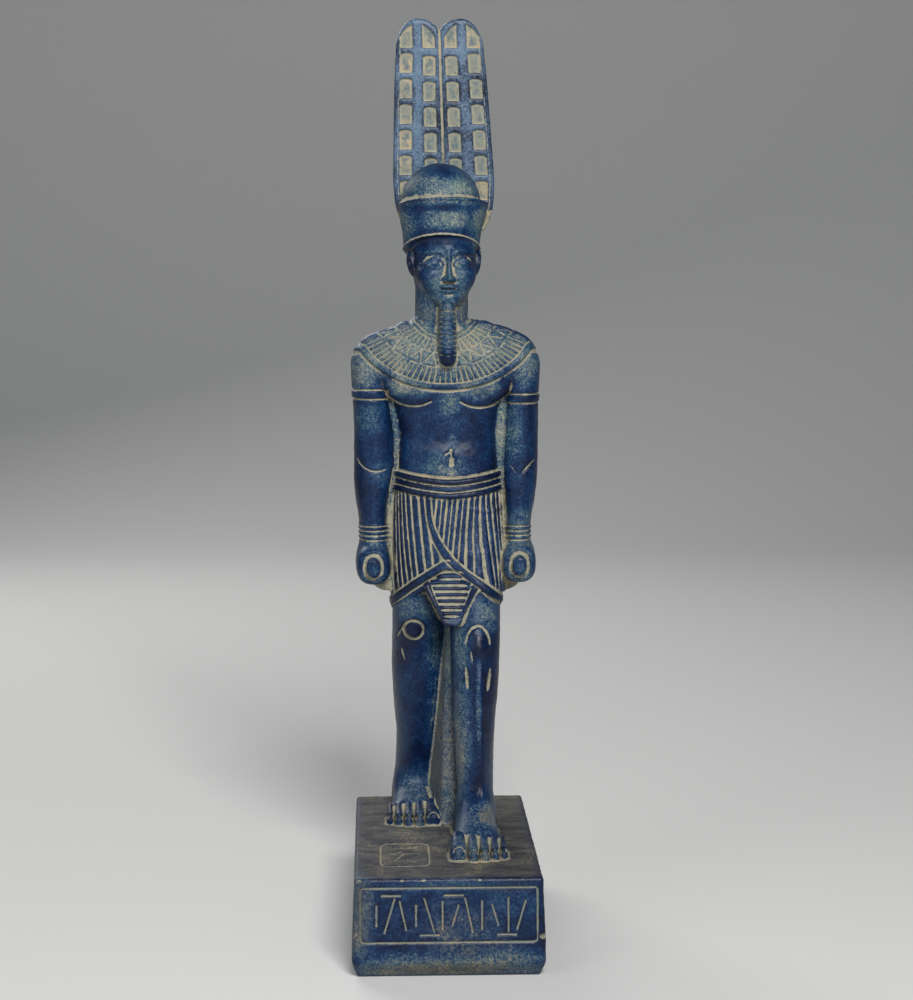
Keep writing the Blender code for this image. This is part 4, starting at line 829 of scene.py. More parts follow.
def mark_carving(x, y):
    """A faint rounded frame on top of the plinth, with short strokes in it."""
    u = x - MARK[0]
    w = (y - MARK[1]) / MARK_STRETCH
    cut = frame_line(u, w, MARK_HALF[0], MARK_HALF[1] / MARK_STRETCH, 2.6, 0.5)
    for start, end in MARK_STROKES:
        cut = np.minimum(cut, stroke(u, w, start, end, 0.4))
    return 0.7 * cut


def clear_of_pillar(x, y, z):
    return pillar(x, y, z) > 1.4


def skirt_carving(x, y, z):
    """The kilt's belt, pleats and bands, and the tab's ladder."""
    cloth = kilt(x, y, z)
    arms = np.minimum(left_side_arm(x, y, z), right_side_arm(x, y, z))
    on_tab = (z < 116.5) & (z > TAB_LOW) & (tab(x, y, z) < np.minimum(cloth, 1.4)) & (y < 14.0)
    on_kilt = (cloth < np.minimum(arms, 1.4)) & (z > hem(x, y) + 0.2) & clear_of_pillar(x, y, z)
    relief = np.where(on_kilt & ~on_tab, kilt_carving(x, y, z), 0.0)
    knee = (z < 95.0) & (y < 34.0) & ~on_tab
    return relief + np.where(on_tab, tab_carving(x, z), np.where(knee, knee_carving(x, y, z), 0.0))


def crown_carving(x, y, z):
    """The edges of the cap and the lattice of the plumes."""
    low, high = cap_heights(y)
    feathers = plumes(x, y, z)
    on_cap = (z > low - 1.0) & (z < high + 1.5) & (z < 284.0) & (y < 46.0)
    on_cap = on_cap & (cap(x, y, z) < np.minimum(feathers, 1.4))
    on_plumes = (y > 34.0) & (y < 40.0) & (z > PLUME_LOW + 2.0) & (dome(x, y, z) > 1.0)
    return np.where(on_cap, cap_carving(y, z), np.where(on_plumes, plume_carving(x, y, z), 0.0))


def head_carving(x, y, z):
    """The face, and the fillet on the brow under the cap."""
    across, back = head_space(x, y)
    low = cap_heights(y)[0]
    fillet = 0.6 * smooth(low - FILLET_HIGH - 0.2, low - FILLET_HIGH + 0.2, z)
    return np.where((z < low) & (back < -8.0), face_carving(across, back, z), 0.0) + fillet * (z < low + 0.4)


def shoulder_carving(x, y, z):
    """The beard's rings and the collar."""
    on_beard = (np.abs(x - 2.3) < 4.9) & (y < 14.0)
    worn = (z > 192.0) & clear_of_pillar(x, y, z)
    return np.where(on_beard, beard_carving(z), np.where(worn, collar(x, y, z), 0.0))


def breast_carving(x, y, z):
    return np.where(torso(x, y, z) < 1.2, chest_carving(x, z), 0.0)


def left_arm_carving(x, y, z):
    return np.where(left_side_arm(x, y, z) < 1.2, arm_carving(x, z, True), 0.0)


def right_arm_carving(x, y, z):
    return np.where(right_side_arm(x, y, z) < 1.2, arm_carving(x, z, False), 0.0)


def carving(x, y, z):
    """The height of the carving at points near the surface, in units."""
    height = np.zeros_like(x)

    def carve(where, relief, *values):
        if where.any():
            height[where] += relief(*(value[where] for value in values))

    def above(low, high):
        return (z > low) & (z < high)

    carve(above(60.0, 164.0) & (x > -24.5) & (x < 29.5), skirt_carving, x, y, z)
    carve(above(245.0, 362.0) & (y < 46.0), crown_carving, x, y, z)
    carve(above(237.0, 265.0) & (y < 31.0), head_carving, x, y, z)
    carve(above(192.0, 233.0), shoulder_carving, x, y, z)
    carve(above(160.0, 200.0) & (y < 24.0) & (x > -23.5) & (x < 30.0), breast_carving, x, y, z)
    carve(above(126.0, 198.0) & (x < -22.5) & (y < 46.0), left_arm_carving, x, y, z)
    carve(above(126.0, 198.0) & (x > 27.6) & (y < 46.0), right_arm_carving, x, y, z)
    fists = above(105.0, 127.0) & (y < 18.0)
    carve(fists & (x < -22.0), lambda a, b, c: fist_carving(a, b, c, LEFT_SIDE_FIST), x, y, z)
    carve(fists & (x > 27.0), lambda a, b, c: fist_carving(a, b, c, RIGHT_SIDE_FIST), x, y, z)
    carve(above(0.5, 13.0) & (y < -29.0), lambda a, b, c: toe_carving(a, b, c, FRONT_FOOT), x, y, z)
    rear = above(0.5, 13.0) & (y > 10.0) & (y < 29.0) & (x < 0.0)
    carve(rear, lambda a, b, c: toe_carving(a, b, c, REAR_FOOT), x, y, z)
    carve((z < -3.0) & (y < -PLINTH_BACK + 3.0), panel_carving, x, z)
    carve(above(-1.5, 1.0) & (y < -12.0) & (x < -5.0), mark_carving, x, y)
    return height * DEPTH


# Each form with the corners of the space that it can reach, and how far it blends into the stone

FORMS = [
    (plinth, (-44.0, -74.0, -43.0), (44.0, 74.0, 2.0), 0.1),
    (pillar, (-12.0, 40.0, -3.0), (15.0, 69.0, 295.0), 1.0),
    (rear_leg, (-31.0, 8.0, -4.0), (8.0, 74.0, 128.0), 1.0),
    (front_leg, (-4.0, -50.0, -4.0), (31.0, 48.0, 128.0), 1.0),
    (leg_web, (-14.0, 8.0, -4.0), (20.0, 62.0, 114.0), 2.2),
    (rear_toes, (-31.0, 8.0, -4.0), (4.0, 40.0, 18.0), 0.6),
    (front_toes, (-4.0, -52.0, -4.0), (31.0, -24.0, 18.0), 0.6),
    (kilt, (-29.0, -3.0, 82.0), (34.0, 57.0, 168.0), 0.6),
    (tab, (-16.0, -4.0, 88.0), (24.0, 28.0, 121.0), 0.4),
    (torso, (-46.0, 6.0, 142.0), (50.0, 56.0, 232.0), 1.0),
    (arm_web, (-40.0, 22.0, 100.0), (44.0, 48.0, 208.0), 2.0),
    (left_side_arm, (-46.0, 4.0, 100.0), (-15.0, 50.0, 219.0), 1.6),
    (right_side_arm, (21.0, 4.0, 100.0), (50.0, 50.0, 219.0), 1.6),
    (cap, (-24.0, 6.0, 244.0), (26.0, 55.0, 288.0), 0.4),
    (dome, (-22.0, 8.0, 272.0), (24.0, 54.0, 300.0), 0.5),
    (plumes, (-28.0, 32.0, 260.0), (28.0, 52.0, 364.0), 0.6),
    (head, (-20.0, 4.0, 226.0), (22.0, 54.0, 272.0), 0.5),
    (ears, (-22.0, 18.0, 240.0), (24.0, 42.0, 262.0), 0.6),
    (neck, (-22.0, 10.0, 214.0), (24.0, 52.0, 249.0), 2.0),
    (beard, (-5.0, 3.0, 203.0), (10.0, 28.0, 240.0), 0.8),
]
LOW = np.array([-48.0, -76.0, -45.0])
HIGH = np.array([51.0, 76.0, 365.0])


def quarry():
    """The stone as a grid of distances, below zero inside, with the carving cut into its surface."""
    size = np.ceil((HIGH - LOW) / STEP).astype(int)
    field = np.full(size, FAR, np.float32)
    for form, low, high, blend in FORMS:
        start = np.clip(((np.array(low) - LOW) / STEP).astype(int), 0, size)
        end = np.clip(np.ceil((np.array(high) - LOW) / STEP).astype(int), 0, size)
        box = tuple(slice(a, b) for a, b in zip(start, end))
        x, y, z = (np.arange(a, b) * STEP + c for a, b, c in zip(start, end, LOW))
        distance = form(x[:, None, None], y[None, :, None], z[None, None, :]).astype(np.float32)
        field[box] = np.clip(soft_min(field[box], distance, blend), -FAR, FAR)
    inner = field[1:-1, 1:-1, 1:-1]
    near = np.nonzero(np.abs(inner) < 2.4 * DEPTH + 1.5 * STEP)
    x, y, z = ((index + 1) * STEP + low for index, low in zip(near, LOW))
    slopes = []
    for axis in range(3):
        ahead = tuple(index + (2 if k == axis else 1) for k, index in enumerate(near))
        behind = tuple(index + (0 if k == axis else 1) for k, index in enumerate(near))
        slopes.append((field[ahead] - field[behind]) / (2.0 * STEP))
    steep = np.clip(np.sqrt(sum(slope**2 for slope in slopes)), 0.3, 1.6)
    relief = carving(x, y, z) + unevenness(x, y, z) * (z > PLINTH_LOW + 1.5)
    inner[near] -= (relief * steep).astype(np.float32)
    return field


# The hand-cast surface: slow waves, and small losses along the plinth's edges and on the tip of a plume

CHIPS = [
    (-37, -70.6, -0.4, 1.3), (-19.4, -70.6, -0.2, 1.1), (-13.6, -70.6, -0.1, 1),
    (-10.6, -70.6, -0.1, 1.2), (-5.6, -70.6, 0, 1), (10.4, -70.6, -0.1, 1), (12.8, -70.6, -0.1, 1.2),
    (19.6, -70.6, 0, 1), (30.5, -70.6, -0.1, 1), (-40, -69.6, -36, 1.7), (39, -71, -24.5, 1.1),
    (24, -70.6, -41.8, 1.5), (-22, -70.6, -42, 1.2), (40.2, -30, -0.2, 1.1), (-40.2, 12, -0.2, 1.2),
    (-11.6, 36.2, 359.6, 0.9),
]


def unevenness(x, y, z):
    """Slow waves in the skin, as a hand-finished casting has."""
    u = 0.83 * x + 0.39 * y + 0.41 * z
    v = -0.48 * x + 0.80 * y + 0.36 * z
    w = -0.19 * x - 0.50 * y + 0.85 * z
    broad = np.sin(0.42 * u + 1.3) * np.sin(0.37 * v + 0.4) + np.sin(0.45 * w + 2.1) * np.sin(0.31 * u - 0.7)
    fine = np.sin(1.13 * u + 0.6 * np.sin(0.7 * v)) * np.sin(1.27 * w + 0.9) + np.sin(1.41 * v + 0.5 * w)
    return 0.055 * broad + 0.030 * fine


def losses(field):
    """Cuts the chips into the stone."""
    for cx, cy, cz, radius in CHIPS:
        reach = radius + 1.0
        start = np.clip(np.floor((np.array((cx, cy, cz)) - reach - LOW) / STEP).astype(int), 0, field.shape)
        end = np.clip(np.ceil((np.array((cx, cy, cz)) + reach - LOW) / STEP).astype(int), 0, field.shape)
        box = tuple(slice(a, b) for a, b in zip(start, end))
        x, y, z = (np.arange(a, b) * STEP + c for a, b, c in zip(start, end, LOW))
        x, y, z = x[:, None, None], y[None, :, None], z[None, None, :]
        dent = np.sqrt((x - cx) ** 2 * 0.6 + (y - cy) ** 2 + (z - cz) ** 2)
        dent = dent + 0.25 * np.sin(2.3 * x + 1.1 * z) * np.sin(2.9 * y + 1.7 * x) - radius
        field[box] = soft_max(field[box], -dent, 0.3)


def coarser(grid):
    """The mean of each block of two by two by two."""
    nx, ny, nz = (size // 2 * 2 for size in grid.shape)
    trimmed = grid[:nx, :ny, :nz]
    return trimmed.reshape(nx // 2, 2, ny // 2, 2, nz // 2, 2).mean(axis=(1, 3, 5), dtype=np.float32)


def blurred(grid, width, rounds):
    """A box blur of odd width along each axis, over and over."""
    half = width // 2
    for _ in range(rounds):
        for axis in range(3):
            pad = [(half + 1, half) if k == axis else (0, 0) for k in range(3)]
            total = np.cumsum(np.pad(grid, pad, mode="edge"), axis=axis, dtype=np.float32)
            ahead = [slice(None)] * 3
            behind = [slice(None)] * 3
            ahead[axis] = slice(width, None)
            behind[axis] = slice(None, -width)
            grid = (total[tuple(ahead)] - total[tuple(behind)]) / width
    return grid


def sampled(grid, points, step, low):
    """The grid's value at each point, between its eight neighbours."""
    place = (points - low) / step
    cell = np.clip(np.floor(place).astype(int), 0, np.array(grid.shape) - 2)
    share = np.clip(place - cell, 0.0, 1.0)
    total = np.zeros(len(points))
    for corner in range(8):
        bits = [(corner >> axis) & 1 for axis in range(3)]
        weight = np.ones(len(points))
        for axis, bit in enumerate(bits):
            weight = weight * (share[:, axis] if bit else 1.0 - share[:, axis])
        total += weight * grid[cell[:, 0] + bits[0], cell[:, 1] + bits[1], cell[:, 2] + bits[2]]
    return total


def depths(field, points):
    """How far each point lies below its near and its wider surroundings, below zero on an edge."""
    half = coarser(field)
    near = blurred(half, 3, 2)
    quarter = coarser(half)
    wide = blurred(quarter, 5, 2)
    near_depth = -sampled(near, points, 2.0 * STEP, LOW + 0.5 * STEP)
    wide_depth = -sampled(wide, points, 4.0 * STEP, LOW + 1.5 * STEP)
    return near_depth, wide_depth


# Where the finish differs. A patch is (x, y, z, reach across, deep and up, how much)

WORN_AND_SHEEN_PATCHES = [
    (-35, 20, 206, 11, 16, 13, 0.52), (-33, 16, 183, 9, 14, 9, 0.26), (-26, 14, 158, 8, 14, 8, 0.26),
    (-31, 14, 126, 11, 16, 14, 0.30), (-16, 16, 199, 13, 10, 8, 0.54), (16, 16, 198, 12, 10, 8, 0.48),
    (38, 20, 205, 10, 16, 12, 0.42), (31, 18, 176, 6, 14, 26, 0.34), (34, 18, 126, 11, 16, 20, 0.44),
    (40, 18, 152, 9, 16, 14, 0.16), (1, 14, 282, 17, 12, 9, 0.52), (-9, 14, 289, 5, 8, 4, 0.46),
    (1, 12, 270.5, 15, 8, 6.5, 0.54), (-16, 20, 266, 8, 12, 12, 0.30), (16, 20, 266, 8, 12, 12, 0.30),
    (2, 12, 244, 13, 12, 14, 0.34), (1, 26, 231, 20, 26, 14, 0.46), (0, 14, 256.5, 13, 10, 3.4, 0.36),
    (-14, 20, 213, 30, 18, 17, 0.64), (12, 18, 213, 32, 16, 16, 0.60), (4, 14, 188, 7, 8, 16, 0.20),
    # The two patches on the lower belly below the navel are partly wear and partly a painted highlight
    (4.6, 12, 159.4, 4, 8, 2.6, 0.62), (4, 14, 172, 2.6, 8, 6, 0.46), (2, 14, 163, 13, 8, 8, 0.34),
    (-10, 16, 168, 10, 8, 14, 0.14), (5, 10, 130, 26, 16, 26, 0.26), (-14, 18, 97, 12, 10, 9, 0.38),
    (18, 6, 97, 10, 12, 9, 0.44), (7, 2, 84, 6, 12, 16, 0.48), (7, 0, 46, 6.5, 14, 38, 0.54),
    (-5, 24, 40, 4, 12, 42, 0.34), (22, 0, 24, 5, 12, 26, 0.26), (-20, 30, 24, 5, 16, 28, 0.28),
    (-22, 24, 84, 4, 12, 20, 0.22), (-4, 24, 78, 7, 12, 18, 0.40), (12, -40, 5, 16, 14, 8, 0.54),
    (-13, 6, 5, 14, 16, 8, 0.52), (0, 22, 283, 21, 22, 11, 0.50), (-17, 24, 268, 9, 16, 9, 0.44),
    (17, 24, 270, 7, 16, 9, 0.36), (-5.4, 14, 252, 5, 10, 4.4, 0.34), (7.4, 14, 252, 5, 10, 4.4, 0.34),
    (2.3, 8, 227, 5, 7, 10, 0.34), (2, 12, 152.4, 26, 12, 0.9, 0.34), (19, -16, 11, 7, 14, 9, 0.62),
    (12, -20, 8, 14, 20, 12, 0.40), (-12, 30, 12, 13, 18, 13, 0.38), (-14, -70, -40, 40, 8, 10, 0.50),
    (24, -70, -38, 24, 8, 9, 0.44), (0, -70, -20, 40, 8, 18, 0.12), (-38, -66, -16, 8, 12, 26, 0.50),
    (28, -70, -10, 14, 8, 8, 0.22), (0, -70, -3, 40, 8, 3, 0.30), (-31, 14, 112, 10, 14, 11, 0.38),
    (35, 16, 112, 10, 14, 12, 0.50), (15.4, -4, 58, 1.6, 14, 20, 0.56), (3, 14, 190, 6, 8, 7, 0.40),
    (0, 60, 120, 30, 12, 150, 0.22), (0, 60, 320, 30, 18, 50, 0.26),
]
CLEAN_PATCHES = [
    (0.5, 14, 293.5, 12, 10, 4, 0.9), (1, 12, 264.4, 18, 10, 3, 0.9), (1, 12, 276, 18, 14, 1.6, 0.9),
    (-12.8, 12, 88.4, 3.6, 10, 3.6, 1), (-13, 22, 60, 9, 14, 34, 1), (19.5, 0, 45, 2.6, 10, 30, 0.7),
    (-31, 16, 170, 8, 14, 6, 0.7), (-34, 16, 146, 9, 14, 9, 0.9), (42, 20, 175, 6, 14, 26, 0.8),
    (18, 12, 178, 9, 8, 18, 0.8), (-14, 12, 186, 8, 8, 9, 0.8), (2.3, 8, 209, 6, 6, 6, 0.8),
]
DUST_PATCHES = [
    (1, 28, 230, 16, 26, 9, 0.55), (-35, 20, 206, 12, 18, 13, 0.30), (38, 20, 204, 11, 18, 12, 0.26),
    (36, 16, 120, 9, 16, 12, 0.30), (-22, -71, -40, 44, 6, 9, 0.46), (22, -71, -38, 24, 6, 9, 0.46),
    (0, -71, -24, 46, 6, 22, 0.34), (-38, -71, -14, 9, 6, 24, 0.66), (0, -71, -42, 46, 6, 9, 0.84),
    (26, -71, -4, 18, 6, 4, 0.46), (-13, 20, 281, 8, 14, 8, 0.34), (18, -18, 13, 4.5, 8, 7, 0.62),
    (6, 4, 92, 7, 12, 7, 0.34),
]
# Painted shade in the armpits, where the arms shade the body: darker blue, less filler and less wear
SHADED_PATCHES = [
    (-24.5, 26, 201, 5, 22, 8, 1), (28.5, 26, 200, 5, 22, 8, 0.9),
]
FAINT_PATCHES = [
    (-11, 14, 190, 13, 14, 7, 0.42), (16, 14, 190, 14, 14, 7, 0.42), (-30, 14, 162, 9, 14, 7, 0.40),
    (37, 14, 162, 9, 14, 7, 0.40), (1, 8, 240.5, 6, 8, 2.4, 0.8), (3.6, 12, 168.6, 3.6, 8, 2.6, 0.40),
    (-19, 14, 80, 5, 14, 9, 0.40), (12.4, 6, 79, 2.2, 10, 5, 0.36), (0, -70, -20, 46, 9, 22, 0.32),
]


def patchy(x, y, z, patches):
    amount = np.zeros_like(x)
    for cx, cy, cz, rx, ry, rz, much in patches:
        away = np.sqrt(((x - cx) / rx) ** 2 + ((y - cy) / ry) ** 2 + ((z - cz) / rz) ** 2)
        amount = np.maximum(amount, much * smooth(1.45, 0.25, away))
    return amount


def cell_floors(x, y, z):
    """1 on the sunk floors of the cells in the plumes, and how far each point lies in from its walls."""
    sunk = -plume_carving(x, y, z) * (z > PLUME_LOW + 4.0) * (dome(x, y, z) > 0.8)
    middle, outer = plume_lines(z)
    plume = np.abs(x - middle) - outer / 2.0
    aside = PLUME_CELL_HALF - np.abs(np.abs(plume) - outer / 2.0 * PLUME_COLUMN)
    row = (PLUME_ROW_TOP - 1.2 * (plume < 0.0) - z) / PLUME_ROW
    in_row = (row - np.floor(row)) * PLUME_ROW
    in_row = np.where(z > PLUME_TIP_CELL, np.minimum(z - PLUME_TIP_CELL, 3.0), in_row)
    within = np.minimum(aside, np.minimum(in_row, PLUME_CELL_HIGH - in_row))
    floor = smooth(0.5, 1.1, sunk)
    return floor, floor * smooth(0.3, 1.9, within)


def webs(x, y, z):
    """How far each point lies on the stone left beside the arms, and on that between the legs."""
    between_arms = (z > 104.0) & (z < 197.0) & (y > 17.0) & (y < 42.0)
    body = np.minimum(torso(x, y, z), kilt(x, y, z))
    arms = np.minimum(left_side_arm(x, y, z), right_side_arm(x, y, z))
    beside = np.maximum(arm_web(x, y, z), -0.5) - np.minimum(body, arms + 0.6)
    reach = np.where(x > 0.0, 2.8, 1.6)
    arm_share = between_arms * smooth(reach, -1.2, beside) * smooth(197.0, 188.0, z)
    rear = rear_leg(x, y, z)
    legs = np.minimum(np.minimum(rear, front_leg(x, y, z)), rear_toes(x, y, z))
    leg_share = (z < 100.0) * (z > 0.5) * smooth(1.4, -0.9, leg_web(x, y, z) - legs)
    seam = smooth(2.6, 0.9, rear) * smooth(1.5, 0.4, leg_web(x, y, z)) * smooth(88.0, 66.0, z)
    return arm_share, leg_share, seam * (z < 92.0) * (z > 2.0) * (x > -9.0) * (x < 12.0)


def where_plumes(y, z):
    return (y > 34.0) * (y < 41.5) * smooth(PLUME_LOW + 2.0, PLUME_LOW + 6.0, z)


def chipped(x, y, z):
    """1 on the fresh faces of the chips."""
    bare = np.zeros_like(x)
    for cx, cy, cz, radius in CHIPS:
        away = np.sqrt((x - cx) ** 2 * 0.6 + (y - cy) ** 2 + (z - cz) ** 2)
        bare = np.maximum(bare, smooth(radius + 0.3, radius - 0.1, away))
    return bare


# Stretches of height. Each rises between its first two marks and falls between its last two
HEAD_SPAN = (236.0, 239.0, 256.0, 259.0)
BODY_SPAN = (152.0, 158.0, 198.0, 204.0)
BODY_HOLLOWS_SPAN = (152.0, 158.0, 200.0, 206.0)
BETWEEN_LEGS_SPAN = (11.0, 14.0, 90.0, 94.0)
SHANK_SPAN = (2.0, 8.0, 60.0, 88.0)
# Depths and heights where one part's front ends and the next begins
FACE_BACK = 30.0
CAP_BACK = 32.0
RING_BACK = 35.0
HEAD_LOW = 250.0
FLAPS_TOP = 277.0
# The depth at which the cream on the stone beside the arms has its full share
CREAM_FRONT = 25.0
# How much filler is kept or lost in each place
HOLLOW_FILLER = 0.55
LATTICE_LOSS = 0.9
FLOOR_FILLER = 0.92
SEAM_FILLER = 0.9
UNDER_CAP_LOSS = 0.9
INNER_LEG_LOSS = 0.9
LEFT_CREAM = 0.85
RIGHT_CREAM = 0.62
# The wear that the whole skin has, and what is added to it
WORN_ALL_OVER = 0.20
WORN_WEB = 0.60
WORN_FLANK = 0.80
WORN_SEAM = 0.92
WORN_BESIDE_ARMS = (0.54, 0.62)
VIOLET_THIGH = [(12.0, 12.0, 132.0, 16.0, 10.0, 26.0, 1.0)]
DARK_PATCHES = [(3.0, 12.0, 153.0, 30.0, 12.0, 6.0, 0.8), (2.3, 8.0, 209.0, 6.0, 6.0, 6.0, 0.8)]


def span(value, marks):
    """1 between the middle two of the four marks, and 0 outside the outer two."""
    start, full, fading, gone = marks
    return smooth(start, full, value) * smooth(gone, fading, value)


def cavity_share(y, z, near_depth, wide_depth):
    """How far each point lies in a groove and in a wider hollow, less so on the face."""
    on_head = span(z, HEAD_SPAN) * (y < FACE_BACK)
    in_groove = smooth(0.06, 0.30, near_depth) * (1.0 - 0.45 * on_head)
    in_hollow = smooth(0.30, 1.35, wide_depth) * (1.0 - 0.55 * on_head)
    in_hollow = in_hollow * (1.0 - span(z, BODY_SPAN))
    return np.maximum(in_groove, HOLLOW_FILLER * in_hollow)


def crown_seams(x, y, z, facing_up):
    """The filled lines round the cap, the dome and the plumes' flaps, and the bare rim under the cap."""
    low, high = cap_heights(y)
    on_cap = (y < CAP_BACK) * (z > HEAD_LOW)
    fillet = smooth(low - 0.5, low - 0.1, z) * smooth(low + 1.0, low + 0.6, z) * on_cap
    fillet = fillet * smooth(-0.6, -0.2, facing_up)
    ring = smooth(high - 0.5, high, z) * smooth(high + 1.7, high + 1.0, z) * (y < RING_BACK)
    ring = ring * smooth(2.4, 0.6, dome(x, y, z))
    flaps = smooth(FLAPS_TOP, FLAPS_TOP - 4.0, z) * (z > PLUME_LOW) * (y > 35.5) * (y < 40.0)
    under_cap = smooth(low + 0.2, low - 0.2, z) * on_cap
    return np.maximum(np.maximum(fillet, ring), flaps), under_cap * smooth(low - 2.4, low - 1.6, z)


def filler_share(x, y, z, facing_up, cavity, shaded, floors, beside_arms, beside_legs):
    """Tan filler in the grooves and seams, on the cells' floors, on the webs by the arms and on chips."""
    # Less filler where shade is painted in the armpits, and on the stone between the legs
    filler = cavity * (1.0 - 0.8 * np.maximum(shaded, beside_legs))
    filler = filler * (1.0 - patchy(x, y, z, FAINT_PATCHES))
    inner_side = span(z, BETWEEN_LEGS_SPAN) * (y > 6.0) * (np.abs(x - 2.0) < 10.0)
    filler = filler * (1.0 - INNER_LEG_LOSS * inner_side)
    aside = np.abs(x - plume_lines(z)[0])
    lattice = where_plumes(y, z) * smooth(1.4, 2.0, aside) * (1.0 - floors)
    filler = np.maximum(filler * (1.0 - LATTICE_LOSS * lattice), FLOOR_FILLER * floors)
    cream = np.where(x < 0.0, LEFT_CREAM * smooth(150.0, 138.0, z), RIGHT_CREAM * smooth(134.0, 118.0, z))
    cream = cream * smooth(-1.5, 0.0, y - CREAM_FRONT)
    filler = np.maximum(filler * (1.0 - 0.8 * beside_arms), cream * beside_arms)
    seams, bare_rim = crown_seams(x, y, z, facing_up)
    filler = np.maximum(filler * (1.0 - UNDER_CAP_LOSS * bare_rim), SEAM_FILLER * seams)
    return np.maximum(filler, chipped(x, y, z))


def wear_and_painted_light_share(x, y, z, facing_left, shaded, beside_arms, beside_legs, seam):
    """How far the blue is rubbed down to pale grain, with a painted highlight on the lower belly below the
    navel, and less where shade is painted in the armpits.
    """
    worn = WORN_ALL_OVER + patchy(x, y, z, WORN_AND_SHEEN_PATCHES) * (1.0 - patchy(x, y, z, CLEAN_PATCHES))
    worn = np.maximum(worn, WORN_ALL_OVER + WORN_WEB * beside_legs * smooth(17.0, 8.0, x))
    flank = (z < 90.0) * (y > 10.0) * (y < 46.0) * (x > -16.0) * (x < 6.0) * (beside_legs < 0.6)
    flank = flank * smooth(0.50, 0.78, facing_left) * span(z, SHANK_SPAN)
    worn = np.maximum(worn, WORN_ALL_OVER + WORN_FLANK * flank)
    worn = np.maximum(worn, WORN_ALL_OVER + WORN_SEAM * seam)
    beside = np.where(x < 0.0, *WORN_BESIDE_ARMS) * smooth(0.0, 0.8, beside_arms)
    # Less wear where shade is painted in the armpits
    return np.maximum(worn, WORN_ALL_OVER + beside) - 0.14 * shaded


def dust_share(x, y, z, facing_up, beside_arms, beside_legs, seam):
    """Grey dust, thick on the plinth's top but thinner by its edges, and thin on the feet and the webs."""
    on_top = (z > -2.0) & (z < 1.4)
    feet = 0.36 * smooth(24.0, 2.0, z) * (z > 1.0)
    dust = np.where(on_top, smooth(0.35, 0.85, np.clip(facing_up, 0.0, 1.0)), feet)
    by_side = 0.45 * smooth(PLINTH_HALF - 6.0, PLINTH_HALF - 1.0, np.abs(x))
    by_front = 0.55 * smooth(5.0 - PLINTH_BACK, 1.5 - PLINTH_BACK, y)
    dust = dust * np.where(on_top, (1.0 - by_side) * (1.0 - by_front), 1.0)
    dust = np.maximum(dust, 0.36 * beside_legs * smooth(19.0, 12.0, x) * (1.0 - 0.8 * seam))
    dust = np.maximum(dust, 0.30 * beside_arms)
    return np.maximum(dust, patchy(x, y, z, DUST_PATCHES))


def dark_and_shade_share(x, y, z, wide_depth, shaded, beside_arms):
    """Where the blue is darker: its own deep blue on the belt and the beard's tip, and painted shade that
    darkens the legs towards the bottom, the body's hollows and the armpits.
    """
    # Painted shade: the legs grow darker towards the bottom
    dark_and_shade = smooth(108.0, 78.0, z) * (z > 2.0) * 0.6
    dark_and_shade = np.maximum(dark_and_shade, patchy(x, y, z, DARK_PATCHES))
    # Painted shade in the body's wide hollows, and in the armpits' shaded patches
    hollows = smooth(0.10, 0.90, wide_depth) * span(z, BODY_HOLLOWS_SPAN)
    return np.maximum(np.maximum(dark_and_shade, hollows * (1.0 - beside_arms)), shaded)


def collar_share(x, z):
    reach = np.hypot((x - COLLAR_MIDDLE[0]) / COLLAR_RADII[0], (z - COLLAR_MIDDLE[1]) / COLLAR_RADII[1])
    return (z > 190.0) * smooth(1.1, 1.0, reach) * (z < 230.0)


def finish_of(points, normals, near_depth, wide_depth):
    """Shares of each kind of finish, and of painted light and shade, at the points."""
    x, y, z = points.T
    facing_left, _, facing_up = normals.T
    floors, smudge, beside_arms, beside_legs, seam = np.zeros((5, len(x)))
    where = (y > 34.0) & (y < 41.0) & (z > PLUME_LOW)
    floors[where], smudge[where] = cell_floors(x[where], y[where], z[where])
    where = (z < 200.0) & (y > 8.0) & (y < 60.0) & (np.abs(x - MIDDLE_X) < 37.0)
    beside_arms[where], beside_legs[where], seam[where] = webs(x[where], y[where], z[where])
    shaded = patchy(x, y, z, SHADED_PATCHES)
    cavity = cavity_share(y, z, near_depth, wide_depth)
    on_collar = collar_share(x, z)
    smudge = np.maximum(smudge, 0.75 * (y < -66.0) * (z < -2.0))
    shares = {
        "filler": filler_share(x, y, z, facing_up, cavity, shaded, floors, beside_arms, beside_legs),
        "smudge": np.maximum(smudge, 0.30 * on_collar),
        "worn": wear_and_painted_light_share(x, y, z, facing_left, shaded, beside_arms, beside_legs, seam),
        "dust": dust_share(x, y, z, facing_up, beside_arms, beside_legs, seam),
        "pale": smooth(268.0, 290.0, z) * (y > 33.0),
        "violet": np.maximum(0.6 * patchy(x, y, z, VIOLET_THIGH), 0.15 * smooth(110.0, 60.0, z) * (z > 0.0)),
        # Painted shade on the lower legs, in the body's hollows and in the armpits, with the belt's and the
        # beard tip's own deep blue
        "dark_and_shade": dark_and_shade_share(x, y, z, wide_depth, shaded, beside_arms),
        # Raised lips beside the grooves are kept darker: partly less worn, partly a painted shadow line
        "edge": smooth(0.04, 0.28, -near_depth) * (1.0 - 0.85 * on_collar),
    }
    return {name: np.clip(values, 0.0, 1.0) for name, values in shares.items()}


# The material

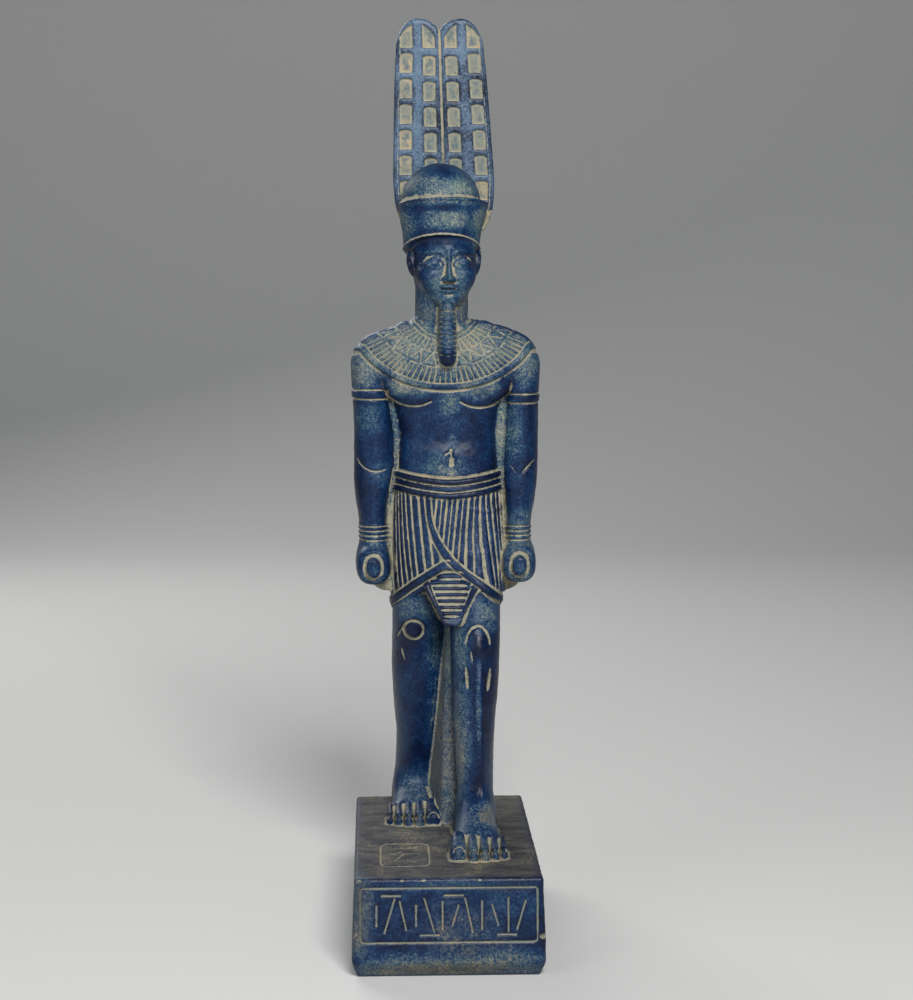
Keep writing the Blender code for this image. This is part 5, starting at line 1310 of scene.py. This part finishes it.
WEAR_COLOURS = [
    (0.00, (0.0006, 0.0040, 0.020)),
    (0.16, (0.0013, 0.0100, 0.042)),
    (0.32, (0.0028, 0.0220, 0.074)),
    (0.47, (0.0110, 0.0440, 0.100)),
    (0.63, (0.0560, 0.0960, 0.126)),
    (0.82, (0.1450, 0.1700, 0.162)),
    (1.00, (0.2700, 0.2650, 0.212)),
]
TEAL_SHIFT = (0.92, 1.05, 0.98, 1.0)
VIOLET_SHIFT = (1.55, 0.92, 1.06, 1.0)
PERIWINKLE = (0.102, 0.162, 0.236, 1.0)
TAN = (0.305, 0.288, 0.208, 1.0)
TAN_WARM = (0.410, 0.310, 0.190, 1.0)
TAN_DARK = (0.110, 0.122, 0.102, 1.0)
SMUDGE = (0.070, 0.112, 0.130, 1.0)
OCHRE = (0.190, 0.160, 0.100, 1.0)
DUST = (0.094, 0.087, 0.071, 1.0)
DUST_DARK = (0.024, 0.026, 0.030, 1.0)


class Nodes:
    """A short way to add and join shader nodes."""

    def __init__(self, tree):
        self.tree = tree

    def add(self, kind, **settings):
        node = self.tree.nodes.new(kind)
        for name, value in settings.items():
            setattr(node, name, value)
        return node

    def join(self, source, target):
        if isinstance(source, (int, float, tuple)):
            target.default_value = source
        else:
            self.tree.links.new(source, target)

    def attribute(self, name):
        return self.add("ShaderNodeAttribute", attribute_name=name).outputs["Fac"]

    def noise(self, place, scale, detail=4.0, rough=0.6, warp=0.0):
        node = self.add("ShaderNodeTexNoise")
        self.join(place, node.inputs["Vector"])
        for name, value in (("Scale", scale), ("Detail", detail), ("Roughness", rough), ("Distortion", warp)):
            node.inputs[name].default_value = value
        return node.outputs["Fac"]

    def maths(self, operation, first, second):
        node = self.add("ShaderNodeMath", operation=operation)
        self.join(first, node.inputs[0])
        self.join(second, node.inputs[1])
        return node.outputs[0]

    def plus(self, first, second):
        return self.maths("ADD", first, second)

    def times(self, first, second):
        return self.maths("MULTIPLY", first, second)

    def between(self, value, low, high, start=0.0, end=1.0):
        node = self.add("ShaderNodeMapRange", interpolation_type="SMOOTHSTEP")
        labels = ("Value", "From Min", "From Max", "To Min", "To Max")
        for label, item in zip(labels, (value, low, high, start, end)):
            self.join(item, node.inputs[label])
        return node.outputs["Result"]

    def mix(self, share, first, second, blend="MIX"):
        node = self.add("ShaderNodeMix", data_type="RGBA", blend_type=blend)
        self.join(share, node.inputs["Factor"])
        self.join(first, node.inputs[6])
        self.join(second, node.inputs[7])
        return node.outputs[2]

    def multiply(self, share, first, second):
        return self.mix(share, first, second, "MULTIPLY")

    def blend(self, share, first, second):
        node = self.add("ShaderNodeMix", data_type="FLOAT")
        self.join(share, node.inputs["Factor"])
        self.join(first, node.inputs[2])
        self.join(second, node.inputs[3])
        return node.outputs[0]

    def swing(self, value, amount):
        """The value's swing about a half, scaled."""
        return self.times(self.maths("SUBTRACT", value, 0.5), amount)

    def ramp(self, value, stops):
        node = self.add("ShaderNodeValToRGB")
        self.join(value, node.inputs["Fac"])
        marks = node.color_ramp.elements
        for number, (place, colour) in enumerate(stops):
            mark = marks[number] if number < 2 else marks.new(place)
            mark.position = place
            mark.color = (*colour, 1.0)
        return node.outputs["Color"]


def blue_stone():
    """Blue cast stone, rubbed to a fine pale grain, with tan filler left in its grooves and grey dust, and
    with painted shade in the body's hollows, the armpits and the lower legs, painted shadow lines along the
    grooves and a painted highlight on the lower belly.
    """
    material = bpy.data.materials.new("blue_stone_finish")
    material.use_nodes = True
    tree = material.node_tree
    n = Nodes(tree)
    shader = tree.nodes["Principled BSDF"]
    place = n.add("ShaderNodeTexCoord").outputs["Object"]
    names = ("filler", "smudge", "worn", "dust", "pale", "violet", "dark_and_shade", "edge")
    filler, smudge, worn, dust, pale, violet, dark_and_shade, edge = (n.attribute(name) for name in names)
    clouds = n.noise(place, 48.0, 4.0, 0.60, 0.6)
    drift = n.noise(place, 30.0, 3.0, 0.55, 0.8)
    mottle = n.noise(place, 240.0, 4.0, 0.66, 0.3)
    specks = n.noise(place, 900.0, 3.0, 0.70, 0.2)
    grain = n.noise(place, 1900.0, 2.0, 0.60)

    dots = n.plus(n.swing(specks, 1.15), n.swing(grain, 1.05))
    dots = n.times(dots, n.between(worn, 0.20, 0.62, 0.60, 1.05))
    # Painted shadow: a thin darker outline where the filler fades out at the grooves' edges
    ring = n.times(n.between(filler, 0.03, 0.20), n.between(filler, 0.55, 0.25))
    wear_and_painted_light = n.plus(worn, n.plus(n.swing(clouds, 0.70), n.swing(mottle, 0.50)))
    wear_and_painted_light = n.plus(wear_and_painted_light, dots)
    # Painted shadow lines along the grooves' lips and the filler's edges
    wear_and_painted_light = n.maths("SUBTRACT", wear_and_painted_light, n.plus(n.times(edge, 0.14), n.times(ring, 0.08)))
    # Painted shade from the dark share: the lower legs, the body's hollows and the armpits are made darker
    wear_and_painted_light = n.maths("SUBTRACT", wear_and_painted_light, n.times(dark_and_shade, 0.14))
    blue = n.ramp(wear_and_painted_light, WEAR_COLOURS)
    blue = n.multiply(n.between(drift, 0.48, 0.60), blue, TEAL_SHIFT)
    blue = n.multiply(violet, blue, VIOLET_SHIFT)
    chalk_and_shade = n.plus(n.plus(0.60, n.times(dots, 1.5)), n.swing(clouds, 1.2))
    # Painted shadow lines at the edges of the plumes' cells, partly less wear
    chalk_and_shade = n.maths("SUBTRACT", chalk_and_shade, n.times(edge, 0.14))
    blue = n.mix(n.times(pale, n.between(chalk_and_shade, 0.15, 0.85, 0.0, 0.95)), blue, PERIWINKLE)

    tan = n.mix(n.between(n.plus(0.5, n.plus(dots, n.swing(mottle, 1.2))), 0.15, 0.62), TAN_DARK, TAN)
    tan = n.mix(n.between(clouds, 0.50, 0.64), tan, n.mix(n.between(specks, 0.40, 0.60), TAN, TAN_WARM))
    greened = n.between(n.plus(0.5, n.plus(n.times(dots, 0.8), n.swing(mottle, 2.0))), 0.22, 0.74)
    tan = n.mix(n.times(n.times(smudge, greened), 0.90), tan, SMUDGE)
    broken = n.plus(n.times(dots, 0.75), n.swing(mottle, 0.9))
    fill = n.between(n.plus(filler, broken), 0.26, 0.62)
    colour = n.mix(fill, blue, tan)

    streaks = n.add("ShaderNodeMapping")
    n.join(place, streaks.inputs["Vector"])
    streaks.inputs["Scale"].default_value = (0.62, 1.35, 1.0)
    swept = n.noise(streaks.outputs["Vector"], 110.0, 5.0, 0.72, 0.8)
    dirt = n.mix(n.between(n.plus(n.times(swept, 0.65), n.times(specks, 0.35)), 0.40, 0.60), DUST_DARK, DUST)
    dirt = n.mix(n.times(n.between(clouds, 0.50, 0.64), n.between(specks, 0.42, 0.60)), dirt, OCHRE)
    laid = n.plus(dust, n.plus(n.swing(clouds, 0.7), n.swing(specks, 0.7)))
    laid = n.between(laid, 0.16, 0.95, 0.0, 0.84)
    laid = n.times(laid, n.between(n.times(filler, n.between(dust, 0.6, 0.9)), 0.15, 0.6, 1.0, 0.35))
    colour = n.mix(laid, colour, dirt)
    n.join(colour, shader.inputs["Base Color"])

    matt = n.maths("MAXIMUM", n.between(wear_and_painted_light, 0.35, 0.75), fill)
    rough = n.blend(matt, n.between(specks, 0.35, 0.65, 0.32, 0.44), 0.70)
    rough = n.blend(laid, rough, 0.80)
    n.join(rough, shader.inputs["Roughness"])
    shader.inputs["Specular IOR Level"].default_value = 0.28
    height = n.plus(n.times(grain, 0.45), n.plus(n.times(specks, 0.55), n.times(mottle, 0.8)))
    bump = n.add("ShaderNodeBump")
    bump.inputs["Strength"].default_value = 0.55
    bump.inputs["Distance"].default_value = 0.00030
    n.join(height, bump.inputs["Height"])
    n.join(bump.outputs["Normal"], shader.inputs["Normal"])
    return material


# The studio

# In metres, as the frame has them, and degrees
STATUE_MIDDLE = Vector((0.0, 0.0, 0.2))
KEY_PLACE = (0.20, -1.14, 1.02)
FILL_PLACE = (-0.95, -0.85, 0.60)
BACK_PLACE = (-0.5, 1.0, 0.9)
CAMERA_PLACE = (-0.0301, -0.9618, 0.3019)
CAMERA_TILT = 83.44
CAMERA_TURN = -2.13
SENSOR_WIDTH = 36.0
LENS = 79.92
FLOOR_FRONT = -4.0
FLOOR_HALF = 4.0
FLOOR_FLAT_END = 1.2
FLOOR_CURVE = 0.8
WALL_HIGH = 4.0


def soft_light(name, place, size, power):
    light = bpy.data.lights.new(name, "AREA")
    light.shape = "RECTANGLE"
    light.size, light.size_y = size
    light.energy = power
    lamp = bpy.data.objects.new(name, light)
    bpy.context.scene.collection.objects.link(lamp)
    lamp.location = place
    lamp.rotation_euler = (STATUE_MIDDLE - Vector(place)).to_track_quat("-Z", "Y").to_euler()


def pale_floor():
    """A floor that curves up into a wall behind the statue."""
    mesh = bpy.data.meshes.new("pale_floor")
    line = [(FLOOR_FRONT, 0.0), (FLOOR_FLAT_END, 0.0)]
    for turn in np.linspace(0.1, math.pi / 2.0, 16):
        back = FLOOR_FLAT_END + FLOOR_CURVE * math.sin(turn)
        line.append((back, FLOOR_CURVE - FLOOR_CURVE * math.cos(turn)))
    line.append((FLOOR_FLAT_END + FLOOR_CURVE, WALL_HIGH))
    points = [(side * FLOOR_HALF, y, z) for y, z in line for side in (-1.0, 1.0)]
    faces = [(2 * k, 2 * k + 1, 2 * k + 3, 2 * k + 2) for k in range(len(line) - 1)]
    mesh.from_pydata(points, [], faces)
    mesh.shade_smooth()
    floor = bpy.data.objects.new("pale_floor", mesh)
    bpy.context.scene.collection.objects.link(floor)
    material = bpy.data.materials.new("pale_paper")
    material.use_nodes = True
    shader = material.node_tree.nodes["Principled BSDF"]
    shader.inputs["Base Color"].default_value = (0.62, 0.62, 0.60, 1.0)
    shader.inputs["Roughness"].default_value = 0.9
    mesh.materials.append(material)


def studio():
    pale_floor()
    world = bpy.data.worlds.new("studio")
    bpy.context.scene.world = world
    world.use_nodes = True
    background = world.node_tree.nodes["Background"]
    background.inputs["Color"].default_value = (0.80, 0.86, 1.0, 1.0)
    background.inputs["Strength"].default_value = 0.11
    soft_light("key", KEY_PLACE, (0.44, 0.44), 23.0)
    soft_light("fill", FILL_PLACE, (0.6, 0.9), 2.6)
    soft_light("back", BACK_PLACE, (0.8, 0.6), 8.0)
    camera = bpy.data.cameras.new("camera")
    camera.sensor_width = SENSOR_WIDTH
    camera.lens = LENS
    camera.clip_start = 0.01
    view = bpy.data.objects.new("camera", camera)
    bpy.context.scene.collection.objects.link(view)
    view.location = CAMERA_PLACE
    view.rotation_euler = (math.radians(CAMERA_TILT), 0.0, math.radians(CAMERA_TURN))
    bpy.context.scene.camera = view
    bpy.context.scene.view_settings.view_transform = "Standard"


# The pieces: level cuts through the whole skin, in units above the plinth's top

PIECES = [
    ("plinth", -50.0, 3.0),
    ("legs", 3.0, 90.0),
    ("kilt_and_hands", 90.0, 152.0),
    ("body_and_arms", 152.0, 203.0),
    ("shoulders_and_head", 203.0, 270.0),
    ("crown_and_plumes", 270.0, 400.0),
]
MOST_TRIANGLES = 940000


def thinned(points, quads):
    """The skin with its plain parts thinned, as points and triangles in units."""
    mesh = bpy.data.meshes.new("skin")
    mesh.from_pydata(points, [], quads)
    skin = bpy.data.objects.new("skin", mesh)
    bpy.context.scene.collection.objects.link(skin)
    thinning = skin.modifiers.new("thinning", "DECIMATE")
    thinning.ratio = min(1.0, MOST_TRIANGLES / (2.0 * len(quads)))
    graph = bpy.context.evaluated_depsgraph_get()
    result = bpy.data.meshes.new_from_object(skin.evaluated_get(graph))
    bpy.data.objects.remove(skin)
    bpy.data.meshes.remove(mesh)
    result.calc_loop_triangles()
    places = np.empty(len(result.vertices) * 3, np.float32)
    result.vertices.foreach_get("co", places)
    triangles = np.empty(len(result.loop_triangles) * 3, np.int32)
    result.loop_triangles.foreach_get("vertices", triangles)
    normals = np.empty(len(result.vertices) * 3, np.float32)
    result.vertex_normals.foreach_get("vector", normals)
    bpy.data.meshes.remove(result)
    return places.reshape(-1, 3).astype(float), triangles.reshape(-1, 3), normals.reshape(-1, 3)


def piece(name, points, triangles, normals, finish, material):
    used, faces = np.unique(triangles, return_inverse=True)
    faces = faces.reshape(-1, 3)
    mesh = bpy.data.meshes.new(name)
    spots = points[used].copy()
    spots[:, 2] -= PLINTH_LOW
    mesh.vertices.add(len(used))
    mesh.vertices.foreach_set("co", (spots * UNIT).astype(np.float32).ravel())
    mesh.loops.add(faces.size)
    mesh.loops.foreach_set("vertex_index", faces.astype(np.int32).ravel())
    mesh.polygons.add(len(faces))
    mesh.polygons.foreach_set("loop_start", np.arange(0, faces.size, 3, dtype=np.int32))
    mesh.update(calc_edges=True)
    for label, values in finish.items():
        layer = mesh.attributes.new(label, "FLOAT", "POINT")
        layer.data.foreach_set("value", values[used].astype(np.float32))
    mesh.shade_smooth()
    mesh.normals_split_custom_set_from_vertices(normals[used].tolist())
    mesh.materials.append(material)
    part = bpy.data.objects.new(name, mesh)
    bpy.context.scene.collection.objects.link(part)
    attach(part, "root")
    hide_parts("amun_statue")
    print(name, len(faces), "triangles")


def statue():
    field = quarry()
    losses(field)
    grid = openvdb.FloatGrid(FAR)
    grid.copyFromArray(field)
    points, quads = grid.convertToQuads(0.0)
    points = points.astype(float) * STEP + LOW
    points[:, 2] = np.where(points[:, 2] < PLINTH_LOW + 0.2, PLINTH_LOW, points[:, 2])
    points, triangles, normals = thinned(points.tolist(), quads.tolist())
    finish = finish_of(points, normals, *depths(field, points))
    material = blue_stone()
    heights = points[triangles, 2].mean(axis=1)
    for name, low, high in PIECES:
        chosen = (heights >= low) & (heights < high)
        piece(name, points, triangles[chosen], normals, finish, material)


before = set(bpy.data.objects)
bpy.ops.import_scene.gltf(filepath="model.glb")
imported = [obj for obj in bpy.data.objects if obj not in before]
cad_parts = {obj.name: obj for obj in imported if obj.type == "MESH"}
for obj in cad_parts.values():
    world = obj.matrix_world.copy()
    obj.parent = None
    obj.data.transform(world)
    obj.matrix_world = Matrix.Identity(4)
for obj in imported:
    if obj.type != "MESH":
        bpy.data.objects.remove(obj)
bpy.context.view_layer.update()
studio()
statue()
